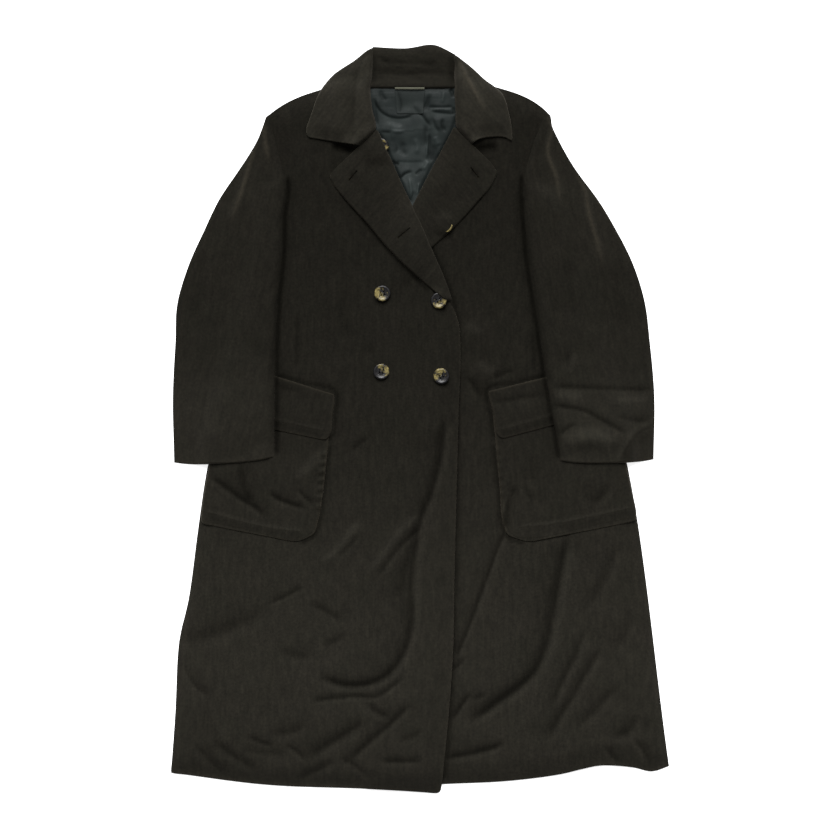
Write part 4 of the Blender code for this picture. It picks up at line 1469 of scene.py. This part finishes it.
lay("front_left", ((62, 514), (195, 475), (387, -538), (-74, -574)),
    (FOLD, FRONT_TO_SLEEVE, LIFTED, FRONT_TO_LAPEL), LEFT_FRONT_CREASES,
    rests_on=["back_cloth", "back_lining_cloth"], **FRONT)
set_button("button_lapel", 310.0, 0.9, 10.0, tilt=12.0, tilt_axis=(-0.634, -0.773, 0.0))

# %% Left lapel
LAPEL = {"cloth": TURNED_CLOTH, "loft": 1.8, "uneven": 0.2, "rounding": 5.0, "spacing": 3.0,
         "air_reach": 24.0, "painted_shading": LAPEL_PAINTED_SHADE, "rest": table.drape}
LEFT_LAPEL_CREASES = (
    Crease(((58, 440), (24, 384), (-8, 318), (-40, 250)), 12.0, -1.6),
    Crease(((96, 388), (70, 356), (40, 318)), 9.0, 0.9),
    Crease(((90, 376), (84, 383), (79, 390)), 2.0, 1.6),
)
lay("lapel_left", ((55, 453), (111, 397), (-54, 196), (-66, 212)), (TURNED, TURNED, TURNED, LEFT_ROLL),
    LEFT_LAPEL_CREASES, grain=40.0, rests_on=["front_left_cloth"], **LAPEL)

# %% Buttonhole shape
SLIT_HALF = 0.75
EYELET = 1.9
EYELET_POINTS = 15
BINDING_RISE = 0.1
SLIT_RISE = 0.05
BINDING = {"pitch": 0.8, "length": 2.0, "radius": 0.32, "turn": 90.0, "thread": coat_thread}
# A thick dark row laid in the slit as its painted shadow.
SLIT_SHADOW = {"pitch": 0.5, "length": 2.2, "radius": 0.8, "turn": 0.0, "thread": dark_thread_and_slit_shadow}


def keyhole(eyelet, end):
    """Outline of a keyhole buttonhole in millimetres: a round eyelet and a slit from it."""
    eyelet, end = np.array(eyelet, dtype=float), np.array(end, dtype=float)
    ahead = unit(end - eyelet)
    aside = np.array([-ahead[1], ahead[0]])
    opening = math.asin(SLIT_HALF / EYELET)
    rim = [eyelet + EYELET * (math.cos(turn) * ahead + math.sin(turn) * aside)
           for turn in np.linspace(opening, math.tau - opening, EYELET_POINTS)]
    return [end + SLIT_HALF * aside, *rim, end - SLIT_HALF * aside]


def work_buttonholes(node, holes):
    """Bound keyhole buttonholes on a lapel: the thread round each, and a dark row as the slit's painted
    shadow.
    """
    sheet = sheets[node]
    rows = [on_cloth(sheet.piece, keyhole(*hole), BINDING_RISE) for hole in holes]
    sheet.sewn_on.append(sew(node + "_binding", rows, **BINDING))
    slit_shadows = [on_cloth(sheet.piece, hole, SLIT_RISE) for hole in holes]
    sheet.sewn_on.append(sew(node + "_slit_shadow", slit_shadows, **SLIT_SHADOW))


work_buttonholes("lapel_left", (((90, 376), (79, 390)),))

# %% Right front
RIGHT_SLEEVE_LINE = ((-206, 380), (-204, 356), (-209, 315), (-210, 262), (-216, 203), (-221, 122), (-222, 40),
                     (-222, -20), (-222, -60))
RIGHT_SLEEVE_DIP = sleeve_dip(RIGHT_SLEEVE_LINE)
RIGHT_POCKET_LINE = ((-139, -38), (-144, -70), (-149, -122), (-155, -157), (-165, -182), (-188, -194))
RIGHT_FLAP_LINE = ((-224, 69), (-180, 56), (-130, 41), (-131, 6), (-137, -28), (-145, -37))
RIGHT_FRONT_CREASES = (
    Crease(((35, 10), (34, -30), (27, -75), (13, -122), (0, -155), (-8, -200), (-14, -255), (-13, -308),
            (-20, -345), (-38, -380), (-64, -402), (-100, -411), (-136, -405), (-160, -391)), 7.0, 5.5,
           RIGHT_HIGH),
    Crease(((-18, -195), (-26, -240), (-32, -285)), 7.0, 2.5, RIGHT_HIGH),
    Crease(((0, -143), (-28, -170), (-55, -205), (-82, -240)), 5.0, -3.0, RIGHT_HIGH),
    Crease(((6, -160), (-22, -186), (-48, -216), (-66, -245)), 5.0, 2.6, RIGHT_HIGH),
    Crease(((-92, -154), (-116, -185), (-136, -208), (-156, -222)), 4.0, -2.6, RIGHT_HIGH),
    Crease(((-90, -172), (-110, -196), (-130, -215)), 4.0, 1.4, RIGHT_HIGH),
    Crease(((-172, -436), (-130, -431), (-95, -428), (-70, -429), (-44, -413), (-24, -396)), 4.5, 2.6,
           LEFT_HIGH),
    Crease(((-84, -436), (-66, -452), (-44, -459)), 6.0, 3.6, LEFT_HIGH),
    Crease(((-11, -433), (-42, -466), (-74, -494), (-114, -531)), 6.0, 3.8, RIGHT_HIGH),
    Crease(((-76, -458), (-118, -487), (-152, -508), (-186, -532)), 9.0, 4.5, RIGHT_HIGH),
    Crease(((-128, -524), (-158, -541), (-196, -556)), 7.0, 3.4, RIGHT_HIGH),
    Crease(((-132, -519), (-104, -534), (-70, -560)), 5.0, 2.4, LEFT_HIGH),
    Crease(((-68, -527), (-30, -528), (8, -527)), 5.0, 3.2, LEFT_HIGH),
    Crease(((-36, -497), (-14, -490), (6, -476)), 6.0, 2.0, LEFT_HIGH),
    Crease(((-268, -488), (-246, -500), (-224, -506)), 3.5, 2.2, LEFT_HIGH),
    Crease(((-214, -502), (-194, -512), (-176, -530)), 3.5, 2.2, LEFT_HIGH),
    Crease(((-236, -484), (-206, -484), (-172, -468)), 8.0, 2.4, LEFT_HIGH),
    Crease(((-280, -508), (-240, -515), (-200, -516)), 7.0, 1.8, LEFT_HIGH),
    Crease(((-322, -492), (-300, -512), (-276, -528), (-246, -545)), 7.0, 3.4, LEFT_HIGH),
    Crease(((-350, -500), (-326, -526), (-298, -552)), 7.0, 3.0, LEFT_HIGH),
    Crease(((-366, -376), (-352, -407), (-324, -431)), 4.5, 2.4, LEFT_HIGH),
    Crease(((-336, -418), (-326, -462), (-308, -502), (-276, -542)), 8.0, 2.2, RIGHT_HIGH),
    Crease(((-178, -256), (-206, -272), (-238, -286)), 4.0, 2.0, RIGHT_HIGH),
    Crease(((-230, -284), (-285, -316), (-330, -332), (-392, -339)), 14.0, 3.8, RIGHT_HIGH),
    Crease(((-174, -282), (-148, -295), (-116, -314)), 6.0, 2.6, LEFT_HIGH),
    Crease(((-112, -330), (-132, -342), (-154, -350)), 6.0, 1.5, RIGHT_HIGH),
    Crease(((-222, -350), (-196, -364), (-162, -367)), 8.0, 2.2, LEFT_HIGH),
    Crease(((-74, -24), (-98, -40), (-112, -54)), 4.0, 1.5, RIGHT_HIGH),
    Crease(((-89, 120), (-81, 109), (-66, 102)), 4.0, 0.8, LEFT_HIGH),
    Crease(((-117, 215), (-119, 160), (-111, 110)), 9.0, 1.6),
    Crease(((-190, 170), (-191, 120), (-192, 78)), 3.0, 1.0),
    # Painted shadow under the collar's notch.
    Crease(((-140, 424), (-118, 420), (-97, 418)), 7.0, 7.0),
    # Painted shadow along the lapel's edge.
    Crease(((-126, 356), (-92, 313), (-56, 268), (-20, 230), (18, 194)), 3.2, 2.2),
    Crease(RIGHT_POCKET_LINE, LINE_WIDTH, LINE_DEPTH),
    Crease(RIGHT_FLAP_LINE, LINE_WIDTH, LINE_DEPTH),
    *RIGHT_SLEEVE_DIP,
)
lay("front_right", ((-233, 470), (-78, 516), (32, -581), (-387, -546)),
    (FOLD, FRONT_TO_LAPEL, LIFTED, FRONT_TO_SLEEVE), RIGHT_FRONT_CREASES, rounding=(1, 1, 9, 1),
    rests_on=["back_cloth", "front_left_cloth", "lapel_left_cloth"], **FRONT)
set_button("button_front_2", 292.0, 0.10, 20.0)

# %% Right lapel
RIGHT_LAPEL_CREASES = (
    Crease(((-66, 436), (-38, 380), (-12, 322), (22, 244)), 12.0, -1.6),
    Crease(((-112, 380), (-84, 350), (-48, 312)), 9.0, 0.9),
    Crease(((-109, 372), (-104, 379), (-98, 385)), 2.0, 1.6),
    Crease(((-33, 282), (-25, 289), (-16, 296)), 2.0, 1.6),
)
lay("lapel_right", ((-131, 389), (-68, 450), (49, 182), (42, 179)), (TURNED, RIGHT_ROLL, LAPEL_END, TURNED),
    RIGHT_LAPEL_CREASES, grain=-40.0, rests_on=["front_right_cloth"], **LAPEL)
work_buttonholes("lapel_right", (((-109, 372), (-98, 385)), ((-33, 282), (-16, 296))))

# %% [markdown]
# Pockets and flaps
#
# A patch pocket is a single layer sewn on near its edge, with a hem band across the bottom that
# shows as a shallow groove. The sewing draws the front edge into small puckers, which are written
# here as a loop of short ridges and dips in turn. The flaps hang over the pockets' mouths, and
# their front edges draw in towards the bottom.

# %% Pockets
POCKET = {"cloth": POCKET_CLOTH, "loft": 1.6, "uneven": 0.5, "spacing": 3.0, "air_reach": 22.0,
          "painted_shading": BODY_PAINTED_SHADE}
PUCKER_PITCH = 13.0
PUCKER_RIDGE = 3.4
PUCKER_DIP = 3.0


def puckers(start, end, across, depth):
    """Short ridges and dips in turn across a sewn edge, a pucker's pitch apart."""
    start, end, across = (np.array(point, dtype=float) for point in (start, end, across))
    count = int(np.linalg.norm(end - start) / PUCKER_PITCH)
    rows = []
    for number in range(count):
        for part, width, sunk in ((0.5, PUCKER_RIDGE, -depth), (1.0, PUCKER_DIP, depth)):
            place = start + (end - start) * (number + part) / count
            rows.append(Crease((place - across, place, place + across), width, sunk))
    return tuple(rows)


RIGHT_BAND = ((-336, -142), (-300, -152), (-260, -162), (-215, -171), (-180, -174))
LEFT_BAND = ((154, -167), (200, -163), (260, -152), (327, -137))
RIGHT_POCKET_CREASES = (
    Crease(((-331, -84), (-302, -104), (-276, -123), (-252, -138), (-236, -156)), 5.0, 3.6, LEFT_HIGH),
    Crease(((-277, -62), (-274, -94), (-266, -118), (-248, -132)), 5.0, 2.8),
    Crease(((-238, -106), (-222, -121), (-200, -130), (-172, -138)), 4.5, 3.5, LEFT_HIGH),
    Crease(((-192, -104), (-179, -119), (-164, -132)), 3.0, 2.2, LEFT_HIGH),
    Crease(((-146, -42), (-170, -70), (-198, -94)), 7.0, -3.4, RIGHT_HIGH),
    Crease(RIGHT_BAND, 2.0, 1.5, RIGHT_HIGH),
    *RIGHT_SLEEVE_DIP,
) + puckers((-149, -46), (-157, -140), (7, 1), 1.6)
LEFT_POCKET_CREASES = (
    Crease(((152, -102), (138, -120), (134, -148), (130, -172)), 3.0, 2.5),
    Crease(((144, -106), (131, -130), (128, -158)), 3.0, -1.8),
    Crease(((160, -98), (166, -112), (175, -127)), 5.0, 1.8, LEFT_HIGH),
    Crease(((294, -94), (282, -116), (262, -133)), 8.0, 3.0, RIGHT_HIGH),
    Crease(((177, -51), (175, -80), (177, -109)), 8.0, 1.8),
    Crease(LEFT_BAND, 2.0, 1.5, RIGHT_HIGH),
    *LEFT_SLEEVE_DIP,
) + puckers((120, -40), (126, -120), (6, -1), 1.0)
lay("pocket_left", ((112, 14), (296, 34), (334, -158), (165, -191)), (SEWN_DOWN,) * 4, LEFT_POCKET_CREASES,
    rounding=(5, 5, 5, 17), grain=3.0, rests_on=["front_left_cloth"], **POCKET)
lay("pocket_right", ((-304, 28), (-137, 16), (-188, -191), (-338, -162)), (SEWN_DOWN,) * 4,
    RIGHT_POCKET_CREASES, rounding=(5, 5, 17, 5), grain=-3.0, rests_on=["front_right_cloth"], **POCKET)

# %% Flaps
FLAP = {"cloth": POCKET_CLOTH, "loft": 1.2, "uneven": 0.4, "spacing": 2.8, "air_reach": 18.0, "painted_shading": BODY_PAINTED_SHADE}
FLAP_FRONT = Side(SEWN_DOWN, DRAWN_IN, 14)
LEFT_FLAP_BAND = ((120, -17), (140, -12), (176, -2), (262, 20))
RIGHT_FLAP_BAND = ((-290, 12), (-250, 4), (-214, -4), (-180, -11), (-150, -18))
LEFT_FLAP_CREASES = (
    Crease(((108, 26), (150, 33), (194, 38)), 5.0, 1.5, LEFT_HIGH),
    Crease(LEFT_FLAP_BAND, 1.8, 1.2, RIGHT_HIGH),
    *LEFT_SLEEVE_DIP,
)
RIGHT_FLAP_CREASES = (
    Crease(((-230, 58), (-205, 48), (-180, 44)), 6.0, 1.5, LEFT_HIGH),
    Crease(RIGHT_FLAP_BAND, 1.8, 1.2, RIGHT_HIGH),
    *RIGHT_SLEEVE_DIP,
)
lay("flap_left", ((106, 44), (264, 83), (277, 9), (124, -31)), (SEWN_DOWN, SEWN_DOWN, SEWN_DOWN, FLAP_FRONT),
    LEFT_FLAP_CREASES, rounding=(3, 3, 3, 8), grain=14.0,
    rests_on=["front_left_cloth", "pocket_left_cloth"], **FLAP)
lay("flap_right", ((-283, 86), (-133, 39), (-145, -34), (-296, -2)),
    (SEWN_DOWN, FLAP_FRONT, SEWN_DOWN, SEWN_DOWN), RIGHT_FLAP_CREASES, rounding=(3, 3, 8, 3), grain=-16.0,
    rests_on=["front_right_cloth", "pocket_right_cloth"], **FLAP)

# %% Pocket and flap sewing
TOPSTITCH = {"pitch": 3.2, "length": 2.3, "radius": 0.28, "turn": 0.0, "thread": coat_thread}
LEFT_POCKET_SEAM = ((122, -60), (127, -120), (133, -162), (148, -181), (172, -183), (222, -175), (270, -163),
                    (330, -152))
RIGHT_POCKET_SEAM = ((-149, -60), (-153, -110), (-158, -150), (-166, -172), (-182, -184), (-206, -185),
                     (-240, -177), (-282, -167), (-336, -157))
POCKET_ROWS = {
    "pocket_left": (LEFT_BAND, LEFT_POCKET_SEAM),
    "pocket_right": (RIGHT_BAND, RIGHT_POCKET_SEAM),
    "flap_left": (LEFT_FLAP_BAND,),
    "flap_right": (RIGHT_FLAP_BAND,),
}
for node, rows in POCKET_ROWS.items():
    sheet = sheets[node]
    sheet.sewn_on.append(sew(node + "_topstitch", [on_cloth(sheet.piece, row) for row in rows], **TOPSTITCH))

# %% [markdown]
# Sleeves
#
# A set-in sleeve is a tube of two halves pressed flat. The under half is tucked in from the long
# edges and rests on the coat. The top half curls down round it on both long edges and at the
# cuff, and its cap meets the armhole in a sewn dip. The folds below the cap are painted paler:
# partly wear, partly a painted highlight.

# %% Left sleeve
UNDER_SLEEVE = {"cloth": SLEEVE_CLOTH, "loft": 0.6, "uneven": 0.3, "spacing": 5.0, "painted_shading": SLEEVE_PAINTED_SHADE}
TOP_SLEEVE = {"cloth": SLEEVE_CLOTH, "loft": 7.0, "uneven": 0.4, "spacing": 3.2, "air_reach": 46.0,
              "painted_shading": SLEEVE_PAINTED_SHADE}
ARMHOLE = Side(SEAM, FOLD, 400)
LEFT_CAP_FOLD = ((191, 476), (204, 454), (198, 418), (212, 372), (219, 330))
LEFT_ARM_FOLD = ((240, 384), (255, 357), (263, 316), (274, 277), (285, 231))
LEFT_OUTER_FOLD = ((193, 474), (235, 413), (272, 350), (309, 289), (334, 240))
SLEEVE_LEFT_CREASES = (
    Crease(((205, 51), (262, 49), (320, 47), (364, 46)), 4.0, 1.9, LEFT_HIGH),
    Crease(((206, 35), (232, 39), (256, 34)), 6.0, -2.4, LEFT_HIGH),
    Crease(((296, 30), (326, 31), (358, 33)), 5.0, -2.0, LEFT_HIGH),
    Crease(((203, 23), (228, 19), (256, 13), (278, 1), (300, -11), (320, -23)), 3.6, 2.4, LEFT_HIGH),
    Crease(((244, -4), (228, -14), (213, -26)), 3.4, 1.8, RIGHT_HIGH),
    Crease(((214, -34), (250, -20), (300, -30), (318, -34)), 8.0, -3.5, LEFT_HIGH),
    Crease(((300, 6), (330, 0), (362, -4)), 4.5, 1.8, LEFT_HIGH),
    Crease(((372, -6), (338, -21), (320, -45), (309, -70)), 5.0, 4.2, LEFT_HIGH),
    Crease(((220, -42), (256, -33), (300, -40)), 11.0, -4.5),
    Crease(((240, 106), (235, 83), (229, 64)), 4.0, -2.0),
    Crease(((232, 104), (226, 92), (220, 84)), 4.0, 1.5),
    Crease(LEFT_CAP_FOLD, 5.0, -2.5),
    Crease(LEFT_ARM_FOLD, 6.0, -2.5),
    Crease(((300, 260), (306, 190), (318, 120)), 12.0, 2.4),
    Crease(((222, 280), (232, 200), (240, 140)), 9.0, 1.8),
    *LEFT_SLEEVE_DIP,
)
lay("sleeve_left_under", ((162.5, 353), (275.5, 339), (360.5, -59.5), (218.5, -61.5)),
    (FADED, HIDDEN, CUFF_RIM, HIDDEN), grain=10.0, rests_on=["front_left_cloth", "flap_left_cloth"],
    **UNDER_SLEEVE)
lay("sleeve_left_top", ((190, 473), (199, 468), (363, -62), (216, -64)), (CAP, FOLD, CUFF, ARMHOLE),
    SLEEVE_LEFT_CREASES, grain=10.0, rests_on=["sleeve_left_under_cloth", "front_left_cloth"],
    worn_and_lit=(LEFT_CAP_FOLD, LEFT_ARM_FOLD, LEFT_OUTER_FOLD), **TOP_SLEEVE)

# %% Right sleeve
RIGHT_CAP_FOLD = ((-242, 463), (-240, 430), (-234, 398))
RIGHT_ARM_FOLD = ((-255, 434), (-272, 370), (-295, 300))
RIGHT_OUTER_FOLD = ((-237, 464), (-263, 424), (-286, 388), (-308, 346))
SLEEVE_RIGHT_CREASES = (
    Crease(RIGHT_CAP_FOLD, 5.0, -2.5),
    Crease(RIGHT_ARM_FOLD, 6.0, -2.5),
    Crease(((-330, 270), (-345, 190), (-352, 120)), 12.0, 2.0),
    *RIGHT_SLEEVE_DIP,
)
lay("sleeve_right_under", ((-310.5, 340), (-208.5, 358), (-227.5, -55.5), (-379.5, -64.5)),
    (FADED, HIDDEN, CUFF_RIM, HIDDEN), grain=-10.0, rests_on=["front_right_cloth", "flap_right_cloth"],
    **UNDER_SLEEVE)
lay("sleeve_right_top", ((-241, 464), (-231, 470), (-225, -58), (-382, -67)), (CAP, ARMHOLE, CUFF, FOLD),
    SLEEVE_RIGHT_CREASES, grain=-10.0, rests_on=["sleeve_right_under_cloth", "front_right_cloth"],
    worn_and_lit=(RIGHT_CAP_FOLD, RIGHT_ARM_FOLD, RIGHT_OUTER_FOLD), **TOP_SLEEVE)

# %% [markdown]
# Collar wings and the front buttons
#
# The two ends of the collar turn over the stand and fall on the fronts. Their inner edge is a
# thick soft fold that keeps most of the collar's height. A raised fold on the left wing is painted
# paler: partly wear, partly a painted highlight. The last three buttons are set on the finished
# fronts.

# %% Collar wings
WING = {"cloth": TURNED_CLOTH, "loft": 5.0, "uneven": 0.4, "rounding": 4.0, "spacing": 2.8, "air_reach": 26.0,
        "painted_shading": COLLAR_PAINTED_SHADE}
LEFT_WING_FOLD = ((60, 556), (73, 530), (89, 500), (103, 474))
LEFT_WING_CREASES = (
    Crease(((60, 560), (66, 520), (64, 460)), 14.0, -2.6),
    Crease(LEFT_WING_FOLD, 3.0, -2.6),
    Crease(((84, 530), (108, 500), (124, 470)), 10.0, 1.2, LEFT_HIGH),
    Crease(((72, 428), (86, 426), (104, 428)), 11.0, -5.0),
)
RIGHT_WING_CREASES = (
    Crease(((-78, 568), (-86, 510), (-78, 455)), 14.0, -2.6),
    Crease(((-97, 556), (-102, 500), (-105, 440)), 4.5, 1.6, RIGHT_HIGH),
    Crease(((-140, 520), (-150, 490), (-156, 455)), 10.0, 1.2, RIGHT_HIGH),
    Crease(((-90, 424), (-104, 427), (-124, 433)), 11.0, -5.0),
)
lay("collar_left", ((52, 566), (57, 565), (143, 431), (79, 426)),
    (WING_OUTER, Side(WING_OUTER, CUT, 500), CUT, WING_FOLD), LEFT_WING_CREASES, grain=35.0,
    rests_on=["collar_stand_cloth", "lapel_left_cloth"], worn_and_lit=(LEFT_WING_FOLD,), **WING)
lay("collar_right", ((-83, 573), (-71, 579), (-94, 424), (-173, 437)),
    (WING_OUTER, WING_FOLD, CUT, Side(WING_OUTER, CUT, 505)), RIGHT_WING_CREASES, grain=-35.0,
    rests_on=["collar_stand_cloth", "lapel_right_cloth"], **WING)

# %% Front buttons
set_button("button_front_1", 205.0, 0.40, 12.0)
set_button("button_front_3", 40.0, 0.05, -8.0)
set_button("button_front_4", 130.0, 0.15, 25.0)

# %% Button threads
THREAD_SUNK = -0.8
THREAD_RAISED = 0.3
THREAD_CORNERS = ((-HOLE_PLACE, THREAD_SUNK), (-HOLE_PLACE, THREAD_RAISED), (HOLE_PLACE, THREAD_RAISED),
                  (HOLE_PLACE, THREAD_SUNK))
BUTTON_THREAD = {"pitch": 0.7, "length": 2.0, "radius": 0.55, "turn": 20.0, "thread": dark_thread_and_slit_shadow}


def thread_rows(centre_x, centre_y, face, turn):
    """Two rows of thread, each out of one hole and into the next."""
    swing = Matrix.Rotation(math.radians(turn), 2)
    rows = []
    for across in (-HOLE_PLACE, HOLE_PLACE):
        row = []
        for up, height in THREAD_CORNERS:
            place = swing @ Vector((across, up))
            row.append((centre_x + place.x, centre_y + place.y, face + height))
        rows.append(row)
    return rows


all_rows = [row for centre in button_centres.values() for row in thread_rows(*centre)]
sew("button_threads", all_rows, **BUTTON_THREAD)

# %% [markdown]
# The cut and the sizes
#
# Each sheet keeps its flat size along the laid cloth, what it rests on and what is sewn on it.
# The name and flat size of each sheet are printed.

# %% State the cut
for node, sheet in sheets.items():
    print(sheet.piece.name, "cut", round(sheet.wide, 3), "x", round(sheet.long, 3),
          "area", round(sheet.area, 4))
